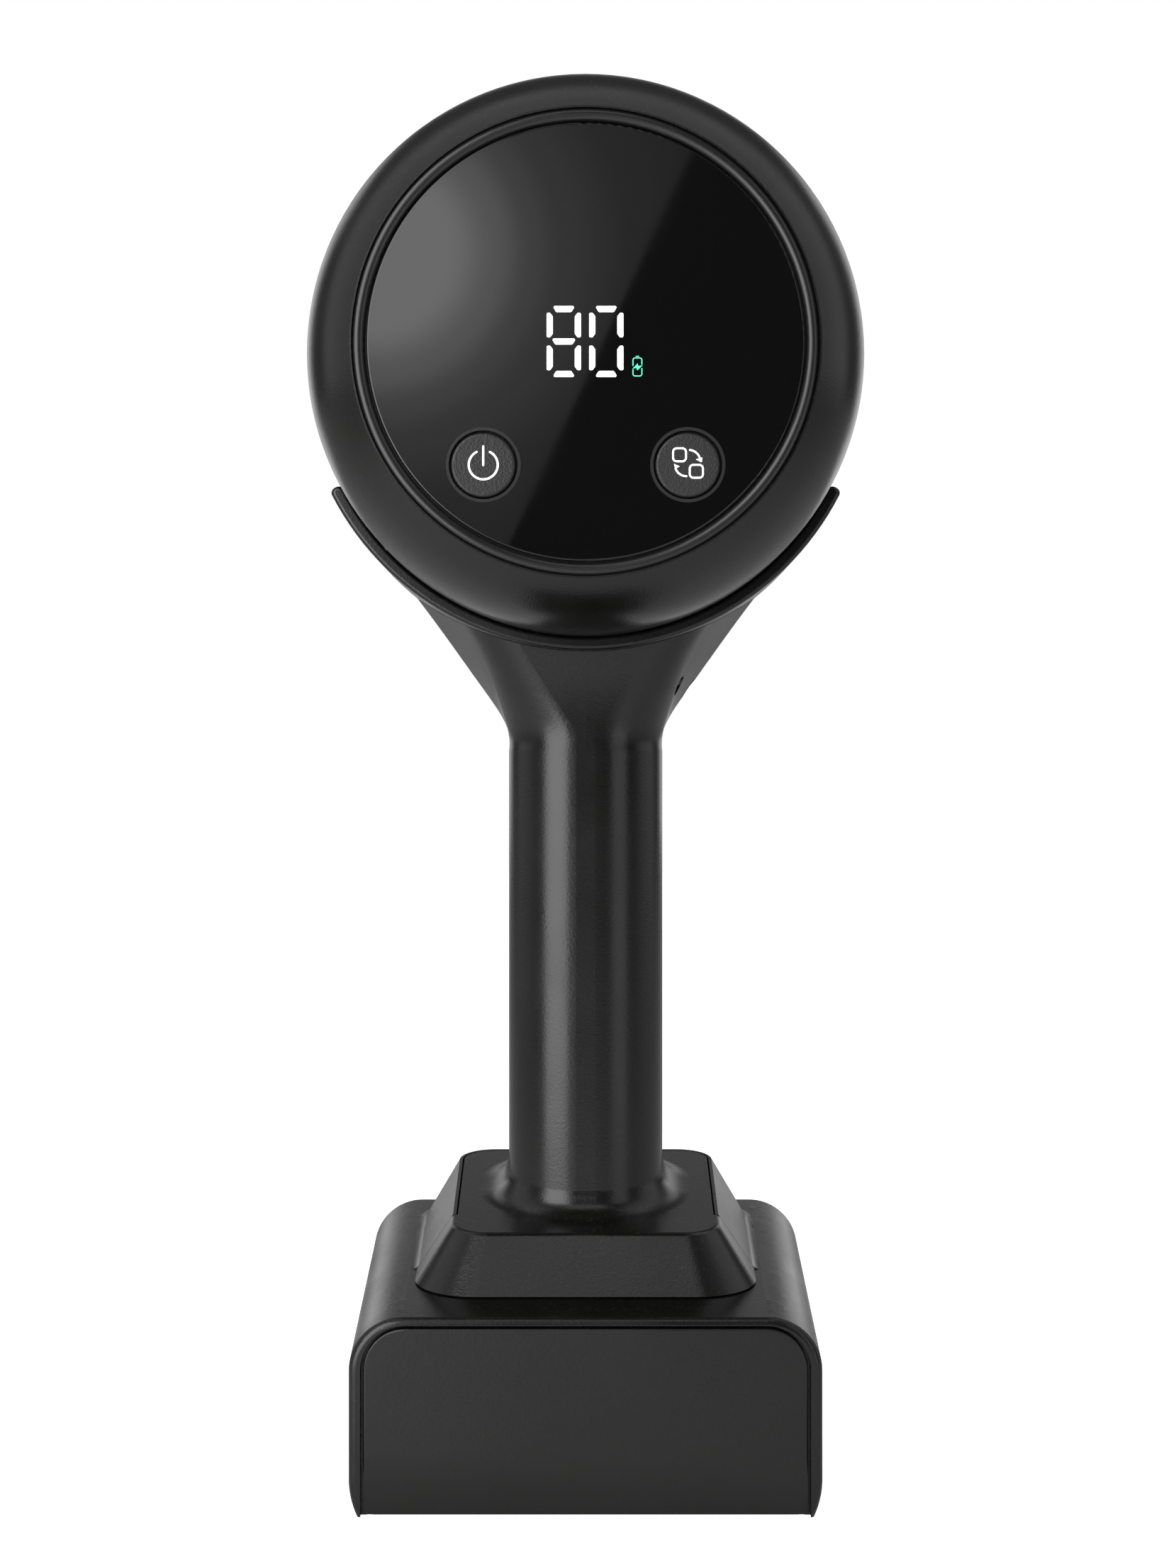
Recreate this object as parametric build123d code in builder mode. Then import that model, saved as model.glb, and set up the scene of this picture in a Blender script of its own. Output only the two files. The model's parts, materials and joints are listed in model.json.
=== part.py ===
"""Handheld massager standing in its lift-off charging dock.

The dock sits on the ground plane with its front towards -Y.  The handle rises
from the dock and carries a drum head whose axis runs along Y: the glass
display faces -Y and the rotating massage plate faces +Y.
"""
from build123d import *
import os
from math import acos, cos, pi, radians, sin, tan

os.makedirs("parts", exist_ok=True)

# ---------------------------------------------------------------- driving dimensions (mm)
BODY_GAP = 0.35          # clearance between pieces that move apart
FIT = 0.05               # radial clearance of a running or assembled fit

# head
HEAD_Z = 278.4           # height of the drum's axis
FACE_Y = -60.0           # front of the display glass
TIP_Y = 60.0             # tips of the massage nodes
DRUM_R = 66.6
DRUM_WALL = 2.4
DRUM_BACK = -35.0        # where the cone of the display side ends
DRUM_FRONT = 38.0        # treatment end of the drum
GLASS_R = 51.0
GLASS_T = 2.4
GLASS_INSET = 0.1        # glass front behind the top of the bezel
BEZEL_IN = 51.4
BEZEL_OUT = 54.4
CONE_MID = (-48.76, 63.55)       # (y, radius) half way round the arc that runs into the drum
CRADLE_IN = DRUM_R + FIT
CRADLE_OUT = 69.9
CRADLE_FRONT = -16.5
CRADLE_BACK = 34.0
CRADLE_HALF_ANGLE = 63.9         # degrees each side of straight down

# buttons
BUTTON_X = 23.75
BUTTON_DROP = 28.6
CAP_R = 7.65
TRIM_IN = CAP_R + BODY_GAP
TRIM_OUT = 8.75
BUTTON_HOLE = 8.8

# handle
GRIP_HALF = 19.4
GRIP_FRONT = -5.0
GRIP_BACK = 41.0
GRIP_CORNER = 17.0
GRIP_MID = (GRIP_FRONT + GRIP_BACK) / 2
SHELL_WALL = 2.4
NECK_START = 184.0

# foot of the handle
PLATEAU_FRONT = -20.0
PLATEAU_BACK = 50.5
PLATEAU_HALF = 32.9
PLATEAU_Z = 66.2                 # height at its front edge
PLATEAU_SLOPE = 10.5
FOOT_FRONT = -29.7
FOOT_BACK = 54.0
FOOT_HALF = 42.05
SEAM_Y = -5.0                    # the dock's collar starts here
PLUG_HALF = 31.7
PLUG_BACK = 49.0
PLUG_Z = 50.5                    # underside of the plug

# dock
DOCK_HALF = 56.15
DOCK_FRONT = -45.0
DOCK_BACK = 57.8
DOCK_BASE = 2.2
DOCK_TOP = 49.2                  # top at the front edge
DOCK_SLOPE = 8.8
DOCK_CORNER = 12.7
DOCK_WALL = 4.2
DOCK_TUCK = 2.0
PANEL_HALF = 52.65
PANEL_TOP = 46.85
PANEL_GROOVE = 0.7
PANEL_T = 3.0
PANEL_ROLL = 2.2                 # how far the front panel rolls under at the bottom
ROLL_TOP = 17.0                  # where that roll starts
COLLAR_BLEND = 2.5
POCKET_FLOOR = 50.0
FOOT_PAD_R = 8.5
FOOT_PAD_X = 38.6

# gear train
MODULE = 1.0
SMALL_TEETH = 14
LARGE_TEETH = 42
CENTRES = MODULE * (SMALL_TEETH + LARGE_TEETH) / 2
BACKLASH = 0.12
GEARBOX_BACK = 0.0               # plate that carries the motor
GEARBOX_COVER = 24.0
PLATE_T = 3.0
ROTOR_R = 1.6
COUNTER_R = 3.0
OUTPUT_R = 5.0

BASE_ALIGN = (Align.CENTER, Align.CENTER, Align.MIN)
HEAD_AXIS = Axis((0, 0, HEAD_Z), (0, 1, 0))
HEAD_PROFILE = Plane(origin=(0, 0, HEAD_Z), x_dir=(0, 1, 0), z_dir=(1, 0, 0))


# ---------------------------------------------------------------- helpers
def facing_user(y, z=HEAD_Z, x=0.0):
    """Upright plane at depth y whose normal points at the user (-Y)."""
    return Plane(origin=(x, y, z), x_dir=(1, 0, 0), z_dir=(0, -1, 0))


def tilted(y, z, slope):
    """Plane that rises towards the back at the slope in degrees."""
    return Plane(origin=(0, y, z), x_dir=(1, 0, 0), z_dir=(0, -sin(radians(slope)), cos(radians(slope))))


def dock_top(y):
    return DOCK_TOP + (y - DOCK_FRONT) * tan(radians(DOCK_SLOPE))


def plateau_top(y):
    return PLATEAU_Z + (y - PLATEAU_FRONT) * tan(radians(PLATEAU_SLOPE))


def disc(y_from, y_to, radius, x=0.0, z=0.0, mode=Mode.ADD):
    """Disc along Y between two depths, offset (x, z) from the head's axis."""
    with Locations(facing_user(y_to, HEAD_Z + z, x)):
        Cylinder(radius, y_to - y_from, align=BASE_ALIGN, mode=mode)


def block(x_span, y_span, z_span, mode=Mode.ADD):
    """Box between two values on each axis."""
    spans = (x_span, y_span, z_span)
    middle = [(low + high) / 2 for low, high in spans]
    size = [high - low for low, high in spans]
    with Locations(tuple(middle)):
        Box(*size, mode=mode)


def post(x, y, z_from, z_to, radius, mode=Mode.ADD):
    """Upright cylinder."""
    with Locations((x, y, z_from)):
        Cylinder(radius, z_to - z_from, align=BASE_ALIGN, mode=mode)


def cross_pin(x_from, x_to, y, z, radius, mode=Mode.ADD):
    """Cylinder along X."""
    with Locations(Plane(origin=(x_from, y, z), x_dir=(0, 1, 0), z_dir=(1, 0, 0))):
        Cylinder(radius, x_to - x_from, align=BASE_ALIGN, mode=mode)


def gear_profile(teeth, first_tooth):
    """Involute gear outline; first_tooth is the angle of one tooth's centre in degrees."""
    pitch_r = MODULE * teeth / 2
    base_r = pitch_r * cos(radians(20))
    tip_r = pitch_r + 0.8 * MODULE
    root_r = pitch_r - 1.05 * MODULE
    start_r = max(base_r, root_r)
    half_at_pitch = pi / (2 * teeth) - BACKLASH / 2 / pitch_r

    def flank_angle(radius):
        pressure = acos(min(1.0, base_r / radius))
        return half_at_pitch + (tan(radians(20)) - radians(20)) - (tan(pressure) - pressure)

    def polar(radius, angle):
        return (radius * cos(angle), radius * sin(angle))

    radii = [start_r + (tip_r - start_r) * step / 3 for step in range(4)]
    with BuildSketch() as outline:
        with BuildLine():
            for tooth in range(teeth):
                centre = radians(first_tooth) + 2 * pi * tooth / teeth
                next_centre = centre + 2 * pi / teeth
                up = [polar(r, centre - flank_angle(r)) for r in radii]
                down = [polar(r, centre + flank_angle(r)) for r in reversed(radii)]
                root_in = polar(root_r, centre - flank_angle(start_r))
                root_out = polar(root_r, centre + flank_angle(start_r))
                root_next = polar(root_r, next_centre - flank_angle(start_r))
                if start_r > root_r:
                    Line(root_in, up[0])
                Spline(*up)
                Line(up[-1], down[0])
                Spline(*down)
                if start_r > root_r:
                    Line(down[-1], root_out)
                Line(root_out, root_next)
        make_face()
    return outline.sketch


# ================================================================ dock
# outer form: a rounded section sheared up towards the back, tucked in at the bottom
with BuildPart() as dock_form:
    with BuildSketch(facing_user(DOCK_FRONT, 0)) as section:
        with Locations((0, DOCK_TOP)):
            Rectangle(2 * DOCK_HALF, 2 * DOCK_TOP, align=(Align.CENTER, Align.MAX))
        fillet(section.vertices().group_by(Axis.Y)[-1], DOCK_CORNER)
    run = (DOCK_BACK - DOCK_FRONT) / cos(radians(DOCK_SLOPE))
    extrude(amount=run, dir=(0, cos(radians(DOCK_SLOPE)), sin(radians(DOCK_SLOPE))))
    with BuildSketch(facing_user(DOCK_BACK, 0)):
        with BuildLine():
            Polyline((-DOCK_HALF, 12.0), (-DOCK_HALF, 90.0), (DOCK_HALF, 90.0), (DOCK_HALF, 12.0))
            ThreePointArc((DOCK_HALF, 12.0), (DOCK_HALF - 0.5, 6.6), (DOCK_HALF - DOCK_TUCK, DOCK_BASE))
            Line((DOCK_HALF - DOCK_TUCK, DOCK_BASE), (DOCK_TUCK - DOCK_HALF, DOCK_BASE))
            ThreePointArc((DOCK_TUCK - DOCK_HALF, DOCK_BASE), (0.5 - DOCK_HALF, 6.6), (-DOCK_HALF, 12.0))
        make_face()
    extrude(amount=DOCK_BACK - DOCK_FRONT, mode=Mode.INTERSECT)

# hollow inside the cover
with BuildPart() as dock_hollow:
    with BuildSketch(facing_user(DOCK_FRONT - 1, 0)) as section:
        with Locations((0, dock_top(DOCK_FRONT - 1) - DOCK_WALL)):
            Rectangle(2 * (DOCK_HALF - DOCK_WALL), 80, align=(Align.CENTER, Align.MAX))
        fillet(section.vertices().group_by(Axis.Y)[-1], DOCK_CORNER - DOCK_WALL)
    run = (DOCK_BACK - DOCK_FRONT + 2) / cos(radians(DOCK_SLOPE))
    extrude(amount=run, dir=(0, cos(radians(DOCK_SLOPE)), sin(radians(DOCK_SLOPE))))

# flared form shared by the handle's nose and the dock's collar
FOOT_MID = (FOOT_FRONT + FOOT_BACK) / 2
PLATEAU_MID = (PLATEAU_FRONT + PLATEAU_BACK) / 2
FOOT_BASE_PLANE = tilted(FOOT_MID, dock_top(FOOT_MID), DOCK_SLOPE)
PLATEAU_PLANE = tilted(PLATEAU_MID, plateau_top(PLATEAU_MID), PLATEAU_SLOPE)
FOOT_RUN = (FOOT_BACK - FOOT_FRONT) / cos(radians(DOCK_SLOPE))
PLATEAU_RUN = (PLATEAU_BACK - PLATEAU_FRONT) / cos(radians(PLATEAU_SLOPE))
with BuildPart() as foot_form:
    with BuildSketch(FOOT_BASE_PLANE.offset(-1.0)):
        RectangleRounded(2 * FOOT_HALF + 1.3, FOOT_RUN + 1.0, 15.5)
    with BuildSketch(PLATEAU_PLANE):
        RectangleRounded(2 * PLATEAU_HALF, PLATEAU_RUN, 9)
    loft()

# straight plug under the handle's foot, and the pocket it drops into
with BuildPart() as plug_form:
    with BuildSketch(Plane.XY.offset(PLUG_Z)):
        with Locations((0, (SEAM_Y + BODY_GAP + PLUG_BACK) / 2)):
            RectangleRounded(2 * PLUG_HALF, PLUG_BACK - SEAM_Y - BODY_GAP, 7)
    extrude(amount=40)
    block((-PLUG_HALF, PLUG_HALF), (SEAM_Y + BODY_GAP, 10), (PLUG_Z, PLUG_Z + 40))
    split(bisect_by=PLATEAU_PLANE, keep=Keep.BOTTOM)

# cover: hollow shell with the pocket and the collar
POCKET_HALF = PLUG_HALF + BODY_GAP + FIT
POCKET_BACK = PLUG_BACK + BODY_GAP + FIT
POST_X = 44.0
POST_YS = (-34.0, 46.0)
with BuildPart() as pocket_walls:
    block((-POCKET_HALF - 2.6, POCKET_HALF + 2.6), (SEAM_Y - 2.6, POCKET_BACK + 2.6), (POCKET_FLOOR - 2.4, 75))
    for post_y in POST_YS:
        for post_x in (-POST_X, POST_X):
            post(post_x, post_y, DOCK_BASE + 2.6, 75, 3.6)
    add(dock_form.part, mode=Mode.INTERSECT)

with BuildPart() as collar_form:
    add(foot_form.part)
    split(bisect_by=Plane(origin=(0, SEAM_Y, 0), z_dir=(0, 1, 0)), keep=Keep.TOP)

with BuildPart() as pocket_form:
    with BuildSketch(Plane.XY.offset(POCKET_FLOOR)):
        with Locations((0, (SEAM_Y + POCKET_BACK) / 2)):
            RectangleRounded(2 * POCKET_HALF, POCKET_BACK - SEAM_Y, 7.4)
    extrude(amount=60)
    block((-POCKET_HALF, POCKET_HALF), (SEAM_Y, 10), (POCKET_FLOOR, POCKET_FLOOR + 60))


def on_collar_foot(edge):
    """True for the edges where the collar meets the dock's top."""
    middle = edge.center()
    level = abs(middle.Z - dock_top(middle.Y)) < 0.8
    return level and abs(middle.X) < 43.3 and SEAM_Y + 0.5 < middle.Y < DOCK_BACK - 2


with BuildPart() as dock_cover:
    add(dock_form.part)
    front_rim = dock_cover.faces().sort_by(Axis.Y)[0].edges()
    fillet(front_rim.filter_by(lambda e: e.center().Z > DOCK_BASE + 1), 1.7)
    add(collar_form.part)
    fillet(dock_cover.edges().filter_by(on_collar_foot), COLLAR_BLEND)
    add(dock_hollow.part, mode=Mode.SUBTRACT)
    # seats of the front and rear panels
    for seat_y in (DOCK_FRONT + PANEL_T + 0.4, DOCK_BACK + 1):
        top = PANEL_TOP + PANEL_GROOVE
        if seat_y > 0:
            top = dock_top(DOCK_BACK) - DOCK_TOP + PANEL_TOP + PANEL_GROOVE
        with BuildSketch(facing_user(seat_y, 0)) as seat:
            with Locations((0, top)):
                Rectangle(2 * (PANEL_HALF + PANEL_GROOVE), top + 5, align=(Align.CENTER, Align.MAX))
            fillet(seat.vertices().group_by(Axis.Y)[-1], 9.8 + PANEL_GROOVE)
        extrude(amount=PANEL_T + 1.4, mode=Mode.SUBTRACT)
    add(pocket_walls.part)
    add(pocket_form.part, mode=Mode.SUBTRACT)
    # opening for the contact block in the pocket's floor, and the screw holes
    block((-16, 16), (14, 26), (40, 60), mode=Mode.SUBTRACT)
    for post_y in POST_YS:
        for post_x in (-POST_X, POST_X):
            post(post_x, post_y, 0, 18, 1.3, mode=Mode.SUBTRACT)
dock_cover.part.label = "dock_cover"
export_step(dock_cover.part, "parts/dock_cover.step")


def dock_panel(y_front, thickness, top, bottom):
    """Outline of a front or rear panel as a solid; returned so the caller can detail it."""
    with BuildPart() as panel:
        with BuildSketch(facing_user(y_front + thickness, 0)) as outline:
            with Locations((0, top)):
                Rectangle(2 * PANEL_HALF, top - bottom, align=(Align.CENTER, Align.MAX))
            fillet(outline.vertices().group_by(Axis.Y)[-1], 9.8)
        extrude(amount=thickness)
    return panel.part


PANEL_FRONT = DOCK_FRONT + 0.2
PANEL_BOTTOM = DOCK_BASE + 0.3
with BuildPart() as dock_front_panel:
    add(dock_panel(PANEL_FRONT, PANEL_T, PANEL_TOP, PANEL_BOTTOM))
    front_edges = dock_front_panel.faces().sort_by(Axis.Y)[0].edges()
    fillet(front_edges.filter_by(lambda e: e.center().Z > PANEL_BOTTOM + 1), 0.5)
    with BuildSketch(Plane.YZ):
        with BuildLine():
            roll_end = (PANEL_FRONT + PANEL_ROLL, PANEL_BOTTOM)
            roll_mid = (PANEL_FRONT + PANEL_ROLL / 4, (ROLL_TOP + PANEL_BOTTOM) / 2)
            ThreePointArc((PANEL_FRONT, ROLL_TOP), roll_mid, roll_end)
            Polyline(
                roll_end, (PANEL_FRONT + PANEL_ROLL, PANEL_BOTTOM - 1), (PANEL_FRONT - 1, PANEL_BOTTOM - 1),
                (PANEL_FRONT - 1, ROLL_TOP), (PANEL_FRONT, ROLL_TOP),
            )
        make_face()
    extrude(amount=PANEL_HALF + 1, both=True, mode=Mode.SUBTRACT)
dock_front_panel.part.label = "dock_front_panel"
export_step(dock_front_panel.part, "parts/dock_front_panel.step")

INLET_Z = 14.0
REAR_TOP = dock_top(DOCK_BACK) - DOCK_TOP + PANEL_TOP
with BuildPart() as dock_rear_panel:
    add(dock_panel(DOCK_BACK - PANEL_T + 0.4, PANEL_T - 0.6, REAR_TOP, PANEL_BOTTOM))
    with BuildSketch(facing_user(DOCK_BACK + 1, INLET_Z)):
        SlotOverall(9.6, 3.9)
    extrude(amount=10, mode=Mode.SUBTRACT)
    # low vent slots
    with BuildSketch(facing_user(DOCK_BACK + 1, 34)):
        with GridLocations(0, 4, 1, 4):
            SlotOverall(30, 1.6)
    extrude(amount=10, mode=Mode.SUBTRACT)
dock_rear_panel.part.label = "dock_rear_panel"
export_step(dock_rear_panel.part, "parts/dock_rear_panel.step")

with BuildPart() as dock_base_plate:
    block((-50.6, 50.6), (DOCK_FRONT + PANEL_T + 0.6, DOCK_BACK - PANEL_T - 0.4), (DOCK_BASE, DOCK_BASE + 2.6))
    for post_y in POST_YS:
        for post_x in (-POST_X, POST_X):
            post(post_x, post_y, 0, 10, 1.7, mode=Mode.SUBTRACT)
            post(post_x, post_y, 0, DOCK_BASE + 1.4, 3.2, mode=Mode.SUBTRACT)
dock_base_plate.part.label = "dock_base_plate"
export_step(dock_base_plate.part, "parts/dock_base_plate.step")

FOOT_PAD_YS = (-21.8, 34.6)
with BuildPart() as dock_feet:
    for pad_y in FOOT_PAD_YS:
        for pad_x in (-FOOT_PAD_X, FOOT_PAD_X):
            post(pad_x, pad_y, 0, DOCK_BASE, FOOT_PAD_R)
    fillet(dock_feet.edges().group_by(Axis.Z)[0], 0.7)
dock_feet.part.label = "dock_feet"
export_step(dock_feet.part, "parts/dock_feet.step")

with BuildPart() as dock_weight:
    block((-38, 38), (-30, 42), (DOCK_BASE + 2.6, DOCK_BASE + 14))
    block((-8, 8), (30, 43), (DOCK_BASE + 2, DOCK_BASE + 15), mode=Mode.SUBTRACT)
    fillet(dock_weight.edges().filter_by(Axis.Z), 3)
dock_weight.part.label = "dock_weight"
export_step(dock_weight.part, "parts/dock_weight.step")

BOARD_Z = 30.0
with BuildPart() as dock_charge_board:
    block((-30, 30), (-4, 44), (BOARD_Z, BOARD_Z + 1.6))
    block((-24, -14), (2, 12), (BOARD_Z + 1.6, BOARD_Z + 7.6))
    block((-24, -16), (30, 38), (BOARD_Z + 1.6, BOARD_Z + 4.6))
    for part_x in (-10, -4, 2, 8):
        block((part_x, part_x + 3), (4, 6), (BOARD_Z + 1.6, BOARD_Z + 2.8))
    post(22, 8, BOARD_Z + 1.6, BOARD_Z + 11, 4)
dock_charge_board.part.label = "dock_charge_board"
export_step(dock_charge_board.part, "parts/dock_charge_board.step")

# contact block rises from the charging board through the pocket's floor
PIN_XS = (-10.5, -3.5, 3.5, 10.5)
CONTACT_Y = 20.0
PIN_REST = PLUG_Z - BODY_GAP
with BuildPart() as dock_contact_block:
    block((-15, 15), (15, 25), (BOARD_Z + 1.6, POCKET_FLOOR - 1.0))
    for pin_x in PIN_XS:
        post(pin_x, CONTACT_Y, BOARD_Z + 4, 70, 1.6, mode=Mode.SUBTRACT)
dock_contact_block.part.label = "dock_contact_block"
export_step(dock_contact_block.part, "parts/dock_contact_block.step")

with BuildPart() as contact_pins:
    for pin_x in PIN_XS:
        post(pin_x, CONTACT_Y, BOARD_Z + 5, PIN_REST, 1.25)
    fillet(contact_pins.edges().group_by(Axis.Z)[-1], 0.8)
contact_pins.part.label = "contact_pins"
export_step(contact_pins.part, "parts/contact_pins.step")

with BuildPart() as usb_inlet:
    with BuildSketch(facing_user(DOCK_BACK - 0.2, INLET_Z)):
        SlotOverall(8.94, 3.26)
    extrude(amount=8)
    with BuildSketch(facing_user(DOCK_BACK - 0.2, INLET_Z)):
        SlotOverall(8.34, 2.56)
        Rectangle(6.7, 0.7, mode=Mode.SUBTRACT)
    extrude(amount=6.5, mode=Mode.SUBTRACT)
    block((-7, 7), (DOCK_BACK - 13, DOCK_BACK - 4), (INLET_Z - 3.6, INLET_Z - 1.5))
usb_inlet.part.label = "usb_inlet"
export_step(usb_inlet.part, "parts/usb_inlet.step")

with BuildPart() as dock_screws:
    for post_y in POST_YS:
        for post_x in (-POST_X, POST_X):
            post(post_x, post_y, DOCK_BASE + 0.3, DOCK_BASE + 1.4, 2.8)
            post(post_x, post_y, DOCK_BASE + 1.4, 14, 1.25)
dock_screws.part.label = "dock_screws"
export_step(dock_screws.part, "parts/dock_screws.step")


# ================================================================ handle
# neck: sections from the grip up to the cradle, narrow in front and wide behind
# each row: height, half width in front, half width behind, front y, back y, front corner, back corner
NECK_SECTIONS = (
    (NECK_START, GRIP_HALF, GRIP_HALF, GRIP_FRONT, GRIP_BACK, 17.0, 17.0),
    (190.0, 19.5, 20.4, -5.0, 40.2, 16.5, 14.0),
    (197.0, 20.5, 25.2, -5.4, 37.6, 14.0, 9.0),
    (204.0, 22.3, 30.6, -6.4, 35.2, 12.0, 6.5),
    (212.0, 26.2, 36.4, -7.8, 33.6, 11.0, 5.5),
    (221.0, 33.0, 42.8, -9.0, 32.8, 10.0, 5.0),
    (230.0, 46.0, 49.2, -9.6, 32.4, 10.0, 5.0),
)
with BuildPart() as neck_form:
    for height, front_half, back_half, front_y, back_y, front_r, back_r in NECK_SECTIONS:
        with BuildSketch(Plane.XY.offset(height)) as section:
            with BuildLine():
                Polyline(
                    (-front_half, front_y), (front_half, front_y), (back_half, back_y),
                    (-back_half, back_y), close=True,
                )
            make_face()
            fillet(section.vertices().group_by(Axis.Y)[0], front_r)
            fillet(section.vertices().group_by(Axis.Y)[-1], back_r)
    loft()

with BuildPart() as handle_form:
    with BuildSketch(Plane.XY.offset(56)):
        with Locations((0, GRIP_MID)):
            RectangleRounded(2 * GRIP_HALF, GRIP_BACK - GRIP_FRONT, GRIP_CORNER)
    extrude(amount=NECK_START - 56)
    add(neck_form.part)
    disc(-80, 80, CRADLE_OUT + FIT, mode=Mode.SUBTRACT)

# nose: the flared part in front of the dock's collar, just clear of the dock
with BuildPart() as nose_form:
    add(foot_form.part)
    split(bisect_by=Plane(origin=(0, SEAM_Y + BODY_GAP, 0), z_dir=(0, 1, 0)), keep=Keep.BOTTOM)
    for side in (-1, 1):
        span = sorted((side * PLUG_HALF, side * 60))
        block(span, (SEAM_Y - BODY_GAP, SEAM_Y + 5), (40, 90), mode=Mode.SUBTRACT)
    split(bisect_by=FOOT_BASE_PLANE.offset(BODY_GAP), keep=Keep.TOP)
    rim = nose_form.faces().sort_by(Axis.Z)[-1].edges()
    fillet(rim.filter_by(lambda e: e.center().Y < SEAM_Y - 1), 1.8)

with BuildPart() as handle_outer:
    add(handle_form.part)
    add(nose_form.part)
    add(plug_form.part)
    waist = handle_outer.edges().filter_by(
        lambda e: abs(e.center().X) < GRIP_HALF + 0.1
        and GRIP_FRONT - 0.1 < e.center().Y < GRIP_BACK + 0.1
        and abs(e.center().Z - plateau_top(e.center().Y)) < 0.8
    )
    fillet(waist, 7.0)

# hollow inside the grip and the foot
CAVITY_HALF = GRIP_HALF - SHELL_WALL
GRIP_ROOM_TOP = 188.2            # above it the neck's back comes forward
NECK_ROOM_TOP = 205.0
NECK_ROOM_BACK = 30.0
NECK_ROOM_RUN = NECK_ROOM_BACK - GRIP_FRONT - SHELL_WALL
with BuildPart() as handle_hollow:
    with BuildSketch(Plane.XY.offset(PLUG_Z)):
        with Locations((0, GRIP_MID)):
            RectangleRounded(2 * CAVITY_HALF, GRIP_BACK - GRIP_FRONT - 2 * SHELL_WALL, GRIP_CORNER - SHELL_WALL)
    extrude(amount=GRIP_ROOM_TOP - PLUG_Z)
    with BuildSketch(Plane.XY.offset(GRIP_ROOM_TOP - 1)):
        with Locations((0, NECK_ROOM_BACK - NECK_ROOM_RUN / 2)):
            RectangleRounded(2 * CAVITY_HALF, NECK_ROOM_RUN, 10)
    extrude(amount=NECK_ROOM_TOP - GRIP_ROOM_TOP + 1)
    with BuildSketch(Plane.XY.offset(PLUG_Z)):
        with Locations((0, 21.8)):
            RectangleRounded(2 * (PLUG_HALF - SHELL_WALL), 49.6, 5)
    extrude(amount=12)
    with BuildSketch(FOOT_BASE_PLANE.offset(BODY_GAP + 2)):
        RectangleRounded(2 * (FOOT_HALF - 5.5), FOOT_RUN - 11, 11)
    with BuildSketch(PLATEAU_PLANE.offset(-2.6)):
        RectangleRounded(2 * (PLATEAU_HALF - 3.2), PLATEAU_RUN - 7, 6)
    nose_room = loft(mode=Mode.PRIVATE)
    nose_room = split(nose_room, bisect_by=Plane(origin=(0, -3, 0), z_dir=(0, 1, 0)), keep=Keep.BOTTOM,
                      mode=Mode.PRIVATE)
    add(nose_room)
    disc(-80, 80, CRADLE_OUT + SHELL_WALL, mode=Mode.SUBTRACT)

# screws that clamp the two shells: (y, z) of each, clear of the cells
SHELL_SCREWS = ((43.0, 57.0), (GRIP_MID - 10, 200.5), (GRIP_MID + 10, 200.5))
SCREW_REACH = 14.0
with BuildPart() as handle_bosses:
    for screw_y, screw_z in SHELL_SCREWS:
        cross_pin(-36, 36, screw_y, screw_z, 3.2)
    add(handle_outer.part, mode=Mode.INTERSECT)

with BuildPart() as handle_shells:
    add(handle_outer.part)
    add(handle_hollow.part, mode=Mode.SUBTRACT)
    add(handle_bosses.part)
    for screw_y, screw_z in SHELL_SCREWS:
        cross_pin(-SCREW_REACH - 1, 60, screw_y, screw_z, 1.25, mode=Mode.SUBTRACT)
        cross_pin(SCREW_REACH - 2.2, 60, screw_y, screw_z, 2.5, mode=Mode.SUBTRACT)

PARTING = Plane(origin=(0, 0, 0), z_dir=(1, 0, 0))
with BuildPart() as handle_left_shell:
    add(handle_shells.part)
    split(bisect_by=PARTING, keep=Keep.BOTTOM)
handle_left_shell.part.label = "handle_left_shell"
export_step(handle_left_shell.part, "parts/handle_left_shell.step")

with BuildPart() as handle_right_shell:
    add(handle_shells.part)
    split(bisect_by=PARTING, keep=Keep.TOP)
handle_right_shell.part.label = "handle_right_shell"
export_step(handle_right_shell.part, "parts/handle_right_shell.step")

with BuildPart() as handle_screws:
    for screw_y, screw_z in SHELL_SCREWS:
        cross_pin(-SCREW_REACH, SCREW_REACH - 2.2, screw_y, screw_z, 1.2)
        cross_pin(SCREW_REACH - 2.2, SCREW_REACH - 0.4, screw_y, screw_z, 2.2)
        cross_pin(SCREW_REACH - 1.2, SCREW_REACH, screw_y, screw_z, 0.9, mode=Mode.SUBTRACT)
handle_screws.part.label = "handle_screws"
export_step(handle_screws.part, "parts/handle_screws.step")

with BuildPart() as foot_sole:
    with BuildSketch(Plane.XY.offset(PLUG_Z)):
        with Locations((0, 21.8)):
            RectangleRounded(2 * (PLUG_HALF - SHELL_WALL) - 0.2, 49.4, 4.9)
        with Locations(*[(pin_x, CONTACT_Y) for pin_x in PIN_XS]):
            Circle(2.3, mode=Mode.SUBTRACT)
    extrude(amount=2)
foot_sole.part.label = "foot_sole"
export_step(foot_sole.part, "parts/foot_sole.step")

with BuildPart() as contact_pads:
    for pin_x in PIN_XS:
        post(pin_x, CONTACT_Y, PLUG_Z, PLUG_Z + 2.4, 2.25)
contact_pads.part.label = "contact_pads"
export_step(contact_pads.part, "parts/contact_pads.step")

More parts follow.
